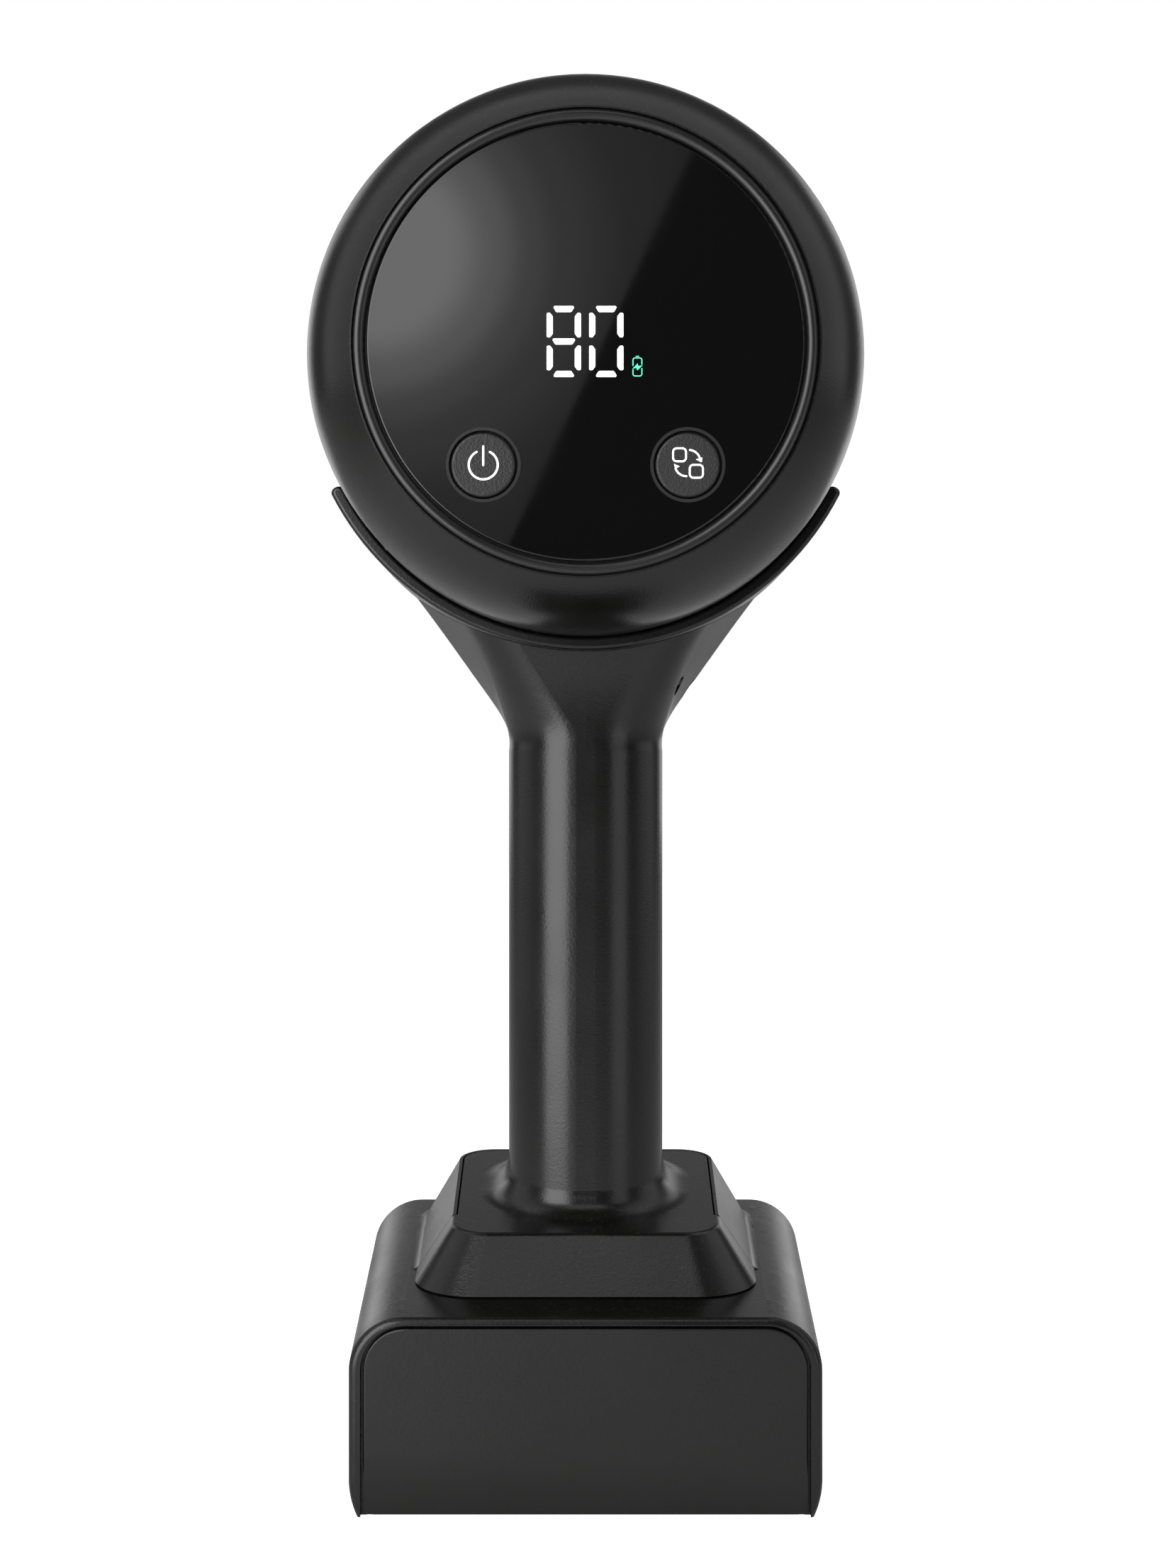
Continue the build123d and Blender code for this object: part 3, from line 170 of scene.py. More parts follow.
def scaled_noise(tree, position, scale_socket, factor, detail=2.0):
    """Noise whose scale is a socket's value times a factor."""
    multiply = add_node(tree, "ShaderNodeMath", operation="MULTIPLY")
    tree.links.new(scale_socket, multiply.inputs[0])
    multiply.inputs[1].default_value = factor
    noise = add_node(tree, "ShaderNodeTexNoise", Detail=detail, Roughness=0.55)
    tree.links.new(position, noise.inputs["Vector"])
    tree.links.new(multiply.outputs[0], noise.inputs["Scale"])
    return noise


def falloff(tree, value, stops):
    """Smooth ramp through (position, level) stops."""
    ramp = tree.nodes.new("ShaderNodeValToRGB")
    ramp.color_ramp.interpolation = "EASE"
    elements = ramp.color_ramp.elements
    while len(elements) < len(stops):
        elements.new(0.5)
    for element, (position, level) in zip(elements, stops):
        element.position = position
        element.color = (level, level, level, 1.0)
    tree.links.new(value, ramp.inputs["Fac"])
    return ramp.outputs["Color"]


def map_range(tree, value, low, high, from_low=0.3, from_high=0.7):
    """Value stretched from one range to another."""
    node = add_node(tree, "ShaderNodeMapRange")
    node.inputs["From Min"].default_value = from_low
    node.inputs["From Max"].default_value = from_high
    node.inputs["To Min"].default_value = low
    node.inputs["To Max"].default_value = high
    tree.links.new(value, node.inputs["Value"])
    return node.outputs["Result"]


GRAIN_SPREAD = (0.25, 0.75)
PIT_SCALE = 0.7
PATCH_SCALE = 0.013


def build_moulded_grain():
    """Fine even grain of a textured mould: tone, roughness change and height."""
    group, enter, leave = new_group(
        "moulded_grain",
        {"Scale": 2200.0, "Tone Low": 0.92, "Tone High": 1.08, "Rough Low": 0.38, "Rough High": 0.48},
        {"Tone": "NodeSocketFloat", "Roughness": "NodeSocketFloat", "Height": "NodeSocketFloat"},
    )
    place = group.nodes.new("ShaderNodeTexCoord").outputs["Object"]
    fine = scaled_noise(group, place, enter.outputs["Scale"], 1.0, 1.0)
    pits = add_node(group, "ShaderNodeTexVoronoi", feature="F1")
    half = add_node(group, "ShaderNodeMath", operation="MULTIPLY")
    group.links.new(enter.outputs["Scale"], half.inputs[0])
    half.inputs[1].default_value = PIT_SCALE
    group.links.new(place, pits.inputs["Vector"])
    group.links.new(half.outputs[0], pits.inputs["Scale"])
    mix = add_node(group, "ShaderNodeMath", operation="ADD")
    group.links.new(fine.outputs["Fac"], mix.inputs[0])
    group.links.new(pits.outputs["Distance"], mix.inputs[1])
    group.links.new(mix.outputs[0], leave.inputs["Height"])
    for output, low, high in (("Tone", "Tone Low", "Tone High"), ("Roughness", "Rough Low", "Rough High")):
        spread = add_node(group, "ShaderNodeMapRange")
        spread.inputs["From Min"].default_value = GRAIN_SPREAD[0]
        spread.inputs["From Max"].default_value = GRAIN_SPREAD[1]
        source = fine
        if output == "Roughness":
            source = scaled_noise(group, place, enter.outputs["Scale"], PATCH_SCALE, 3.0)
        group.links.new(source.outputs["Fac"], spread.inputs["Value"])
        group.links.new(enter.outputs[low], spread.inputs["To Min"])
        group.links.new(enter.outputs[high], spread.inputs["To Max"])
        group.links.new(spread.outputs["Result"], leave.inputs[output])
    return group


SMUDGE_CHANGE = 0.03
SPECK_SCALE = 30.0
SPECK_RANGE = (0.60, 0.74)
DUST_RANGE = (0.15, 1.0)
DUST_MOST = 0.9


def build_handling_marks():
    """Faint smudges and settled dust: a lightening mask and a roughness offset."""
    group, enter, leave = new_group(
        "handling_marks",
        {"Scale": 38.0, "Dust": 0.05},
        {"Mask": "NodeSocketFloat", "Roughness": "NodeSocketFloat"},
    )
    place = group.nodes.new("ShaderNodeTexCoord").outputs["Object"]
    smear = scaled_noise(group, place, enter.outputs["Scale"], 1.0, 4.0)
    smudge = map_range(group, smear.outputs["Fac"], -SMUDGE_CHANGE, SMUDGE_CHANGE)
    group.links.new(smudge, leave.inputs["Roughness"])
    speck = scaled_noise(group, place, enter.outputs["Scale"], SPECK_SCALE, 1.0)
    specks = map_range(group, speck.outputs["Fac"], 0.0, 1.0, *SPECK_RANGE)
    up = add_node(group, "ShaderNodeSeparateXYZ")
    group.links.new(group.nodes.new("ShaderNodeNewGeometry").outputs["Normal"], up.inputs[0])
    facing_up = map_range(group, up.outputs["Z"], DUST_RANGE[0], DUST_RANGE[1], 0.0, DUST_MOST)
    both = add_node(group, "ShaderNodeMath", operation="MULTIPLY")
    group.links.new(specks, both.inputs[0])
    group.links.new(facing_up, both.inputs[1])
    amount = add_node(group, "ShaderNodeMath", operation="MULTIPLY")
    group.links.new(both.outputs[0], amount.inputs[0])
    group.links.new(enter.outputs["Dust"], amount.inputs[1])
    group.links.new(amount.outputs[0], leave.inputs["Mask"])
    return group


def build_brushed_lines():
    """Turned or drawn metal: long fine lines along one axis."""
    group, enter, leave = new_group(
        "brushed_lines",
        {"Scale": 1200.0, "Low": 0.22, "High": 0.42},
        {"Tone": "NodeSocketFloat", "Roughness": "NodeSocketFloat", "Height": "NodeSocketFloat"},
    )
    place = group.nodes.new("ShaderNodeTexCoord").outputs["Object"]
    stretch = add_node(group, "ShaderNodeMapping")
    stretch.inputs["Scale"].default_value = (1.0, 0.04, 1.0)
    group.links.new(place, stretch.inputs["Vector"])
    lines = scaled_noise(group, stretch.outputs["Vector"], enter.outputs["Scale"], 1.0, 2.0)
    group.links.new(map_range(group, lines.outputs["Fac"], 0.9, 1.05), leave.inputs["Tone"])
    spread = add_node(group, "ShaderNodeMapRange")
    group.links.new(lines.outputs["Fac"], spread.inputs["Value"])
    group.links.new(enter.outputs["Low"], spread.inputs["To Min"])
    group.links.new(enter.outputs["High"], spread.inputs["To Max"])
    group.links.new(spread.outputs["Result"], leave.inputs["Roughness"])
    group.links.new(lines.outputs["Fac"], leave.inputs["Height"])
    return group


def use_group(tree, group, **values):
    """Placed node group with some of its inputs set."""
    node = tree.nodes.new("ShaderNodeGroup")
    node.node_tree = group
    for key, value in values.items():
        node.inputs[key.replace("_", " ")].default_value = value
    return node


def tinted(tree, color, tone):
    """Colour multiplied by a tone value."""
    mix = add_node(tree, "ShaderNodeMix", data_type="RGBA", blend_type="MULTIPLY")
    mix.inputs["Factor"].default_value = 1.0
    mix.inputs["A"].default_value = (*color, 1.0)
    gray = add_node(tree, "ShaderNodeCombineColor")
    for channel in ("Red", "Green", "Blue"):
        tree.links.new(tone, gray.inputs[channel])
    tree.links.new(gray.outputs["Color"], mix.inputs["B"])
    return mix.outputs["Result"]


def start_material(name):
    """New finish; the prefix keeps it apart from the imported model's own plain materials."""
    made = bpy.data.materials.new(PREFIX + name)
    made.use_nodes = True
    tree = made.node_tree
    return made, tree, tree.nodes["Principled BSDF"]


def add_bump(tree, shader, height, strength, distance):
    """Fine relief from a height value; the distance is in metres."""
    bump = add_node(tree, "ShaderNodeBump", Strength=strength, Distance=distance)
    tree.links.new(height, bump.inputs["Height"])
    tree.links.new(bump.outputs["Normal"], shader.inputs["Normal"])


DUST_COLOR = (0.42, 0.40, 0.37, 1.0)
GRAIN_DEPTH = 0.0001
LINE_DEPTH = 0.00005


def moulded(name, groups, color, rough, scale, bump, dust=0.03, sheen=0.0):
    """Moulded plastic, rubber or silicone with its own grain, roughness and dust."""
    _, tree, shader = start_material(name)
    grain = use_group(tree, groups["grain"], Scale=scale, Rough_Low=rough[0], Rough_High=rough[1])
    marks = use_group(tree, groups["marks"], Dust=dust)
    base = tinted(tree, color, grain.outputs["Tone"])
    dusty = add_node(tree, "ShaderNodeMix", data_type="RGBA")
    tree.links.new(marks.outputs["Mask"], dusty.inputs["Factor"])
    tree.links.new(base, dusty.inputs["A"])
    dusty.inputs["B"].default_value = DUST_COLOR
    tree.links.new(dusty.outputs["Result"], shader.inputs["Base Color"])
    total = add_node(tree, "ShaderNodeMath", operation="ADD", use_clamp=True)
    tree.links.new(grain.outputs["Roughness"], total.inputs[0])
    tree.links.new(marks.outputs["Roughness"], total.inputs[1])
    tree.links.new(total.outputs[0], shader.inputs["Roughness"])
    shader.inputs["Sheen Weight"].default_value = sheen
    add_bump(tree, shader, grain.outputs["Height"], bump, GRAIN_DEPTH)


def metal(name, groups, color, rough):
    """Drawn or turned metal."""
    _, tree, shader = start_material(name)
    lines = use_group(tree, groups["lines"], Low=rough[0], High=rough[1])
    tree.links.new(tinted(tree, color, lines.outputs["Tone"]), shader.inputs["Base Color"])
    tree.links.new(lines.outputs["Roughness"], shader.inputs["Roughness"])
    shader.inputs["Metallic"].default_value = 1.0
    add_bump(tree, shader, lines.outputs["Height"], 0.1, LINE_DEPTH)


def smoked_glass(groups):
    """Black-backed glass: gloss with a trace of smudges."""
    _, tree, shader = start_material("smoked_glass")
    marks = use_group(tree, groups["marks"], Scale=22.0, Dust=0.004)
    smudge = map_range(tree, marks.outputs["Roughness"], 0.02, 0.05, -0.03, 0.03)
    dusty = add_node(tree, "ShaderNodeMix", data_type="RGBA")
    tree.links.new(marks.outputs["Mask"], dusty.inputs["Factor"])
    dusty.inputs["A"].default_value = (0.0032, 0.0032, 0.0033, 1.0)
    dusty.inputs["B"].default_value = (0.3, 0.3, 0.3, 1.0)
    tree.links.new(dusty.outputs["Result"], shader.inputs["Base Color"])
    tree.links.new(smudge, shader.inputs["Roughness"])
    shader.inputs["IOR"].default_value = 1.5


def lit(name, color, strength, groups):
    """Light of the display, or a print given a painted glow: evenly bright with a faint grain."""
    _, tree, shader = start_material(name)
    grain = use_group(tree, groups["grain"], Scale=3000.0, Tone_Low=0.97, Tone_High=1.0)
    glow = tinted(tree, color, grain.outputs["Tone"])
    tree.links.new(glow, shader.inputs["Emission Color"])
    tree.links.new(glow, shader.inputs["Base Color"])
    shader.inputs["Emission Strength"].default_value = strength
    shader.inputs["Roughness"].default_value = 0.6


def circuit_board(groups):
    """Green lacquered board with copper traces under the lacquer."""
    _, tree, shader = start_material("circuit_green")
    place = tree.nodes.new("ShaderNodeTexCoord").outputs["Object"]
    traces = add_node(tree, "ShaderNodeTexBrick", Scale=420.0)
    traces.inputs["Color1"].default_value = (0.010, 0.075, 0.030, 1.0)
    traces.inputs["Color2"].default_value = (0.012, 0.090, 0.036, 1.0)
    traces.inputs["Mortar"].default_value = (0.045, 0.20, 0.075, 1.0)
    traces.inputs["Mortar Size"].default_value = 0.06
    tree.links.new(place, traces.inputs["Vector"])
    tree.links.new(traces.outputs["Color"], shader.inputs["Base Color"])
    grain = use_group(tree, groups["grain"], Scale=900.0, Rough_Low=0.25, Rough_High=0.4)
    tree.links.new(grain.outputs["Roughness"], shader.inputs["Roughness"])


# name, colour, roughness range, grain scale, bump, dust
PLASTICS = (
    ("satin_black", (0.010, 0.010, 0.010), (0.24, 0.32), 1600.0, 0.03, 0.01),
    ("button_black", (0.012, 0.012, 0.012), (0.40, 0.52), 2600.0, 0.5, 0.01),
    ("trim_black", (0.016, 0.016, 0.016), (0.25, 0.33), 1600.0, 0.03, 0.0),
    ("rubber_black", (0.012, 0.012, 0.012), (0.62, 0.78), 1400.0, 0.25, 0.06),
    ("inner_plastic", (0.06, 0.06, 0.065), (0.45, 0.6), 900.0, 0.1, 0.03),
    ("gear_plastic", (0.62, 0.60, 0.54), (0.34, 0.44), 900.0, 0.04, 0.03),
    ("magnet", (0.045, 0.045, 0.05), (0.5, 0.65), 1200.0, 0.3, 0.03),
    ("cell_wrap", (0.02, 0.14, 0.36), (0.26, 0.34), 700.0, 0.03, 0.03),
    ("digit_white", (0.10, 0.10, 0.10), (0.5, 0.6), 900.0, 0.1, 0.03),
)
# name, colour, roughness range
METALS = (
    ("steel", (0.52, 0.52, 0.53), (0.22, 0.42)),
    ("bearing_steel", (0.62, 0.62, 0.63), (0.12, 0.24)),
    ("nickel", (0.64, 0.61, 0.54), (0.2, 0.34)),
    ("gold_contact", (0.83, 0.60, 0.24), (0.12, 0.24)),
    ("bronze", (0.50, 0.33, 0.16), (0.34, 0.5)),
    ("gear_plate", (0.58, 0.59, 0.60), (0.3, 0.46)),
)
# roughness below and above the shell's setting
SHELL_ROUGH = (-0.04, 0.05)
PANEL_ROUGH = (0.06, 0.14)
PRINT_COLOR = (0.92, 0.92, 0.92)
# painted glow: the printed button symbols are made to glow, though they are no lamp
PRINT_PAINTED_GLOW = 0.85


def build_materials():
    """Every finish, from the tables and the panel's settings."""
    finish = bpy.context.scene.massager_finish
    display = bpy.context.scene.massager_display
    groups = {"grain": build_moulded_grain(), "marks": build_handling_marks(), "lines": build_brushed_lines()}
    shell = tuple(finish.shell_color)
    scale = 1.0 / finish.grain_size
    for name, change, bump in (("soft_black", SHELL_ROUGH, 0.14), ("panel_black", PANEL_ROUGH, 0.16)):
        rough = [finish.shell_roughness + step for step in change]
        moulded(name, groups, shell, rough, scale, bump)
    moulded("silicone_grey", groups, tuple(finish.node_color), (0.48, 0.60), 1800.0, 0.06, 0.08, sheen=0.15)
    for name, color, rough, grain, bump, dust in PLASTICS:
        moulded(name, groups, color, rough, grain, bump, dust)
    for name, color, rough in METALS:
        metal(name, groups, color, rough)
    smoked_glass(groups)
    circuit_board(groups)
    lit("digit_light", tuple(display.digit_color), 1.0, groups)
    # the button print gets a painted glow, not a real backlight
    lit("symbol_print", PRINT_COLOR, PRINT_PAINTED_GLOW, groups)
    lit("battery_light", tuple(display.battery_color), 1.0, groups)


def material(name):
    """Finish by its plain name."""
    return bpy.data.materials[PREFIX + name]


# ---------------------------------------------------------------- mesh building blocks
def new_object(name, mesh, surface, smooth_angle=40):
    """Links a mesh object, smooth below an angle, with its material."""
    piece = bpy.data.objects.new(name, mesh)
    bpy.context.scene.collection.objects.link(piece)
    mesh.materials.append(material(surface))
    for face in mesh.polygons:
        face.use_smooth = True
    mesh.set_sharp_from_angle(angle=radians(smooth_angle))
    return piece


def mesh_from(name, points, faces):
    """Mesh from points in millimetres."""
    mesh = bpy.data.meshes.new(name)
    mesh.from_pydata([tuple(value * MM for value in point) for point in points], [], faces)
    builder = bmesh.new()
    builder.from_mesh(mesh)
    bmesh.ops.remove_doubles(builder, verts=builder.verts, dist=1e-7)
    bmesh.ops.recalc_face_normals(builder, faces=builder.faces)
    builder.to_mesh(mesh)
    builder.free()
    return mesh


def rounded(corners, steps=6, closed=True):
    """Outline of (x, y, radius) corners with each corner turned into an arc."""
    outline = []
    count = len(corners)
    for index, (x, y, radius) in enumerate(corners):
        ends = not closed and index in (0, count - 1)
        if radius <= 0 or ends:
            outline.append((x, y))
            continue
        corner = Vector((x, y))
        before = (Vector(corners[index - 1][:2]) - corner).normalized()
        after = (Vector(corners[(index + 1) % count][:2]) - corner).normalized()
        half = before.angle(after) / 2
        reach = radius / tan(half)
        centre = corner + (before + after).normalized() * (radius / sin(half))
        start = corner + before * reach - centre
        end = corner + after * reach - centre
        turn = start.angle_signed(end)
        for step in range(steps + 1):
            angle = -turn * step / steps
            across = start.x * cos(angle) - start.y * sin(angle)
            along = start.x * sin(angle) + start.y * cos(angle)
            outline.append(tuple(centre + Vector((across, along))))
    return outline


def plate(name, shapes, y_front, y_back, surface):
    """Thin upright shapes between two depths; a shape is a list of (x, z), or a pair of them for a ring."""
    points = []
    faces = []
    for shape in shapes:
        loops = shape if isinstance(shape, tuple) else (shape,)
        count = len(loops[0])
        start = len(points)
        for outline in loops:
            points += [(x, y_front, z) for x, z in outline] + [(x, y_back, z) for x, z in outline]
        for which in range(len(loops)):
            first = start + which * 2 * count
            for index in range(count):
                after = (index + 1) % count
                faces.append((first + index, first + after, first + count + after, first + count + index))
        for face_start in (start, start + count):
            if len(loops) == 1:
                faces.append(tuple(face_start + index for index in range(count)))
                continue
            inner = face_start + 2 * count
            for index in range(count):
                after = (index + 1) % count
                faces.append((face_start + index, face_start + after, inner + after, inner + index))
    return new_object(name, mesh_from(name, points, faces), surface, 30)


def cap_arc(centre, direction, half, steps):
    """Points of a half circle that closes a pen line."""
    base = atan2(direction.y, direction.x)
    angles = [base + pi / 2 - pi * step / steps for step in range(1, steps)]
    return [(centre[0] + half * cos(angle), centre[1] + half * sin(angle)) for angle in angles]


def stroke(path, width, steps=6):
    """Outline of a pen line of that width with round ends."""
    half = width / 2
    sides = []
    for index in range(len(path)):
        before = Vector(path[max(index - 1, 0)])
        after = Vector(path[min(index + 1, len(path) - 1)])
        along = (after - before).normalized()
        across = Vector((-along.y, along.x)) * half
        sides.append((Vector(path[index]) + across, Vector(path[index]) - across))
    outline = [tuple(side[0]) for side in sides]
    outline += cap_arc(path[-1], Vector(path[-1]) - Vector(path[-2]), half, steps)
    outline += [tuple(side[1]) for side in reversed(sides)]
    outline += cap_arc(path[0], Vector(path[0]) - Vector(path[1]), half, steps)
    return outline


def rounded_frame(half_width, half_height, corner, width, x=0.0, z=0.0):
    """Rounded rectangle drawn as a line of that width: a pair of outlines."""
    loops = []
    for grow in (width / 2, -width / 2):
        w, h, r = half_width + grow, half_height + grow, corner + grow
        loops.append(shifted([rounded([(-w, -h, r), (-w, h, r), (w, h, r), (w, -h, r)], 8)], x, z)[0])
    return tuple(loops)


def arc(centre, radius, start, end, steps=32):
    """Points of an arc, angles in degrees."""
    angles = [radians(start + (end - start) * step / steps) for step in range(steps + 1)]
    return [(centre[0] + radius * cos(angle), centre[1] + radius * sin(angle)) for angle in angles]


def shifted(shapes, x, z):
    """Shapes moved by (x, z)."""
    moved = []
    for shape in shapes:
        if isinstance(shape, tuple):
            moved.append(tuple(shifted(list(shape), x, z)))
        else:
            moved.append([(px + x, pz + z) for px, pz in shape])
    return moved


# ---------------------------------------------------------------- operators
class MASSAGER_OT_finish_frame(Operator):
    """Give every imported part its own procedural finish"""

    bl_idname = "massager.finish_frame"
    bl_label = "Finish Packed Parts"

    def execute(self, context):
        build_materials()
        slots = {part["node"]: part["material_slot"] for part in frame["record"]["subparts"]}
        for node, piece in frame["nodes"].items():
            surface = material(slots[node])
            for slot in piece.material_slots:
                slot.material = surface
            if not piece.material_slots:
                piece.data.materials.append(surface)
        return {"FINISHED"}


DIGIT_HALF = 3.965
DIGIT_TOP = 8.235
DIGIT_XS = (-5.04, 4.82)
PRINT_Y = (FACE_Y, FACE_Y + 0.06)


SEGMENT_REACH = 2.6
MIDDLE_REACH = 2.83
SIDE_ENDS = (0.97, 6.65)
SIDE_SHOULDER = 0.55
BEVEL = 0.85
NIB = 0.32
INNER_NIB = 0.5

# battery symbol: half its width and height, gaps in its outline, and its place from the head's centre
BATTERY_HALF_X = 1.03
BATTERY_HALF_Z = 2.1
BATTERY_CORNER = 0.5
BATTERY_GAPS = (0.35, 0.62)
BATTERY_LINE = 0.24
BATTERY_PLACE = (12.05, -5.9)
BOLT = ((-1.17, -0.42), (0.07, 0.82), (0.18, 0.2), (1.2, 0.38), (-0.06, -0.82), (-0.22, -0.22))
TERMINAL_HALF = 0.3
TERMINAL_RISE = 0.36
TERMINAL_LINE = 0.2


def digit_segments(stroke_width, with_middle):
    """Seven-segment digit about its centre: bevelled inner corners, slightly rounded."""
    inner = DIGIT_HALF - stroke_width
    shoulder = DIGIT_HALF - stroke_width * SIDE_SHOULDER
    shapes = []
    for end in (1, -1):
        top, under = end * DIGIT_TOP, end * (DIGIT_TOP - stroke_width)
        shapes.append(rounded([
            (-SEGMENT_REACH, top, NIB), (SEGMENT_REACH, top, NIB),
            (SEGMENT_REACH - BEVEL, under, INNER_NIB), (BEVEL - SEGMENT_REACH, under, INNER_NIB),
        ]))
        low, high = (end * height for height in SIDE_ENDS)
        for side in (1, -1):
            shapes.append(rounded([
                (side * DIGIT_HALF, low, NIB), (side * DIGIT_HALF, high, NIB),
                (side * shoulder, high, NIB), (side * inner, high - end * BEVEL, INNER_NIB),
                (side * inner, low + end * BEVEL, INNER_NIB), (side * shoulder, low, NIB),
            ]))
    if with_middle:
        half = stroke_width / 2
        shapes.append(rounded([
            (-MIDDLE_REACH, half, NIB), (MIDDLE_REACH, half, NIB),
            (MIDDLE_REACH - BEVEL, -half, INNER_NIB), (BEVEL - MIDDLE_REACH, -half, INNER_NIB),
        ]))
    return shapes


class MASSAGER_OT_display_digits(Operator):
    """Light the two digits and the battery symbol behind the glass"""

    bl_idname = "massager.display_digits"
    bl_label = "Display Digits"

    def execute(self, context):
        width = context.scene.massager_display.digit_stroke / MM
        shapes = shifted(digit_segments(width, True), DIGIT_XS[0], HEAD_Z)
        shapes += shifted(digit_segments(width, False), DIGIT_XS[1], HEAD_Z)
        digits = plate("display_digits", shapes, *PRINT_Y, "digit_light")
        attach(digits, "wand")

        upper = rounded([
            (-BATTERY_HALF_X, BATTERY_GAPS[0], 0), (-BATTERY_HALF_X, BATTERY_HALF_Z, BATTERY_CORNER),
            (BATTERY_HALF_X, BATTERY_HALF_Z, BATTERY_CORNER), (BATTERY_HALF_X, BATTERY_GAPS[1], 0),
        ], closed=False)
        lower = [(-x, -z) for x, z in upper]
        terminal_z = BATTERY_HALF_Z + TERMINAL_RISE
        terminal = [(-TERMINAL_HALF, terminal_z), (TERMINAL_HALF, terminal_z)]
        shapes = [
            stroke(upper, BATTERY_LINE), stroke(lower, BATTERY_LINE),
            list(BOLT), stroke(terminal, TERMINAL_LINE),
        ]
        shapes = shifted(shapes, BATTERY_PLACE[0], HEAD_Z + BATTERY_PLACE[1])
        symbol = plate("battery_symbol", shapes, *PRINT_Y, "battery_light")
        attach(symbol, "wand")
        return {"FINISHED"}


# printed symbols: height above the cap and depth into it, then lines, arcs and arrows
PRINT_RISE = 0.04
PRINT_SINK = 0.02
POWER_LINE = 0.47
POWER_RING = ((0, 0), 3.37, 117, 423, 48)
POWER_BAR = ((0, -0.05), (0, 4.3))
MODE_LINE = 0.43
MODE_CORNER = 0.85
MODE_FRAMES = ((1.5, 1.52, -1.92, 2.33), (1.53, 1.5, 1.98, -1.5))
MODE_ARCS = (((0.2, 0.75), 2.72, 84, 22, 12), ((-0.32, 0.02), 2.66, 270, 200, 12))
MODE_ARROWS = (((1.87, 1.26), (3.34, 1.72), (3.24, 0.6)), ((-3.22, 0.22), (-1.86, -0.36), (-2.94, -0.92)))


class MASSAGER_OT_button_symbols(Operator):
    """Print the power and mode symbols on the two buttons; the print has a painted glow, though it is no lamp
    """

    bl_idname = "massager.button_symbols"
    bl_label = "Button Symbols"

    def execute(self, context):
        power = [stroke(arc(*POWER_RING), POWER_LINE), stroke(POWER_BAR, POWER_LINE)]
        centre = middle(POWER_LOW, POWER_HIGH)
        depth = (POWER_LOW.y / MM - PRINT_RISE, POWER_LOW.y / MM + PRINT_SINK)
        symbol = plate("power_symbol", shifted(power, centre.x, centre.z), *depth, "symbol_print")
        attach(symbol, "power_button")

        mode = [rounded_frame(w, h, MODE_CORNER, MODE_LINE, x, z) for w, h, x, z in MODE_FRAMES]
        mode += [stroke(arc(*bend), MODE_LINE) for bend in MODE_ARCS]
        mode += [list(arrow) for arrow in MODE_ARROWS]
        centre = middle(MODE_LOW, MODE_HIGH)
        symbol = plate("mode_symbol", shifted(mode, centre.x, centre.z), *depth, "symbol_print")
        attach(symbol, "mode_button")
        return {"FINISHED"}


class MASSAGER_OT_stage(Operator):
    """Add the floor, backdrop, soft lights and camera"""

    bl_idname = "massager.stage"
    bl_label = "Stage"

    def execute(self, context):
        scene = context.scene
        settings = scene.massager_stage
        build_backdrop(settings)
        build_world(scene)
        build_lights(settings)
        build_glass_card(settings)
        build_camera(scene)
        scene.view_settings.view_transform = "Standard"
        return {"FINISHED"}


def camera_ray_mix(tree, seen, lighting, output):
    """The camera sees one shader, and everything else is lit by the other."""
    rays = tree.nodes.new("ShaderNodeLightPath")
    mix = tree.nodes.new("ShaderNodeMixShader")
    tree.links.new(rays.outputs["Is Camera Ray"], mix.inputs[0])
    tree.links.new(lighting, mix.inputs[1])
    tree.links.new(seen, mix.inputs[2])
    tree.links.new(mix.outputs[0], output)


FLOOR_REACH = 6000.0


def build_backdrop(settings):
    """Flat pale floor, a little brighter to the camera so that it runs into the white surroundings."""
    sheet, tree, shader = start_material("pale_paper")
    shader.inputs["Base Color"].default_value = (*settings.floor_color, 1.0)
    shader.inputs["Roughness"].default_value = 0.9
    shader.inputs["Specular IOR Level"].default_value = 0.0
    glow = add_node(tree, "ShaderNodeEmission", Strength=settings.floor_lift)
    both = tree.nodes.new("ShaderNodeAddShader")
    tree.links.new(shader.outputs[0], both.inputs[0])
    tree.links.new(glow.outputs[0], both.inputs[1])
    camera_ray_mix(tree, both.outputs[0], shader.outputs[0], tree.nodes["Material Output"].inputs["Surface"])
    corners = [(x * FLOOR_REACH, y * FLOOR_REACH, 0.0) for x, y in ((-1, -1), (1, -1), (1, 1), (-1, 1))]
    new_object("studio_floor", mesh_from("studio_floor", corners, [(0, 1, 2, 3)]), "pale_paper")


# brightness of the surroundings from straight in front (0) round the sides (0.5) to straight behind (1)
WORLD_LEVELS = (
    (0.0, 0.04), (0.28, 0.05), (0.40, 0.40), (0.47, 0.85), (0.70, 0.85), (0.765, 0.12),
    (0.93, 0.10), (0.975, 0.7), (1.0, 1.1),
)


def build_world(scene):
    """White surroundings for the camera; dim in front, brighter at the sides and behind for the light."""
    world = bpy.data.worlds.new("studio")
    world.use_nodes = True
    tree = world.node_tree
    seen = tree.nodes["Background"]
    seen.inputs["Color"].default_value = (1.0, 1.0, 1.0, 1.0)
    lighting = tree.nodes.new("ShaderNodeBackground")
    direction = tree.nodes.new("ShaderNodeSeparateXYZ")
    tree.links.new(tree.nodes.new("ShaderNodeTexCoord").outputs["Generated"], direction.inputs[0])
    depth = map_range(tree, direction.outputs["Y"], 0.0, 1.0, -1.0, 1.0)
    tree.links.new(falloff(tree, depth, WORLD_LEVELS), lighting.inputs["Strength"])
    output = tree.nodes["World Output"].inputs["Surface"]
    camera_ray_mix(tree, seen.outputs[0], lighting.outputs[0], output)
    scene.world = world


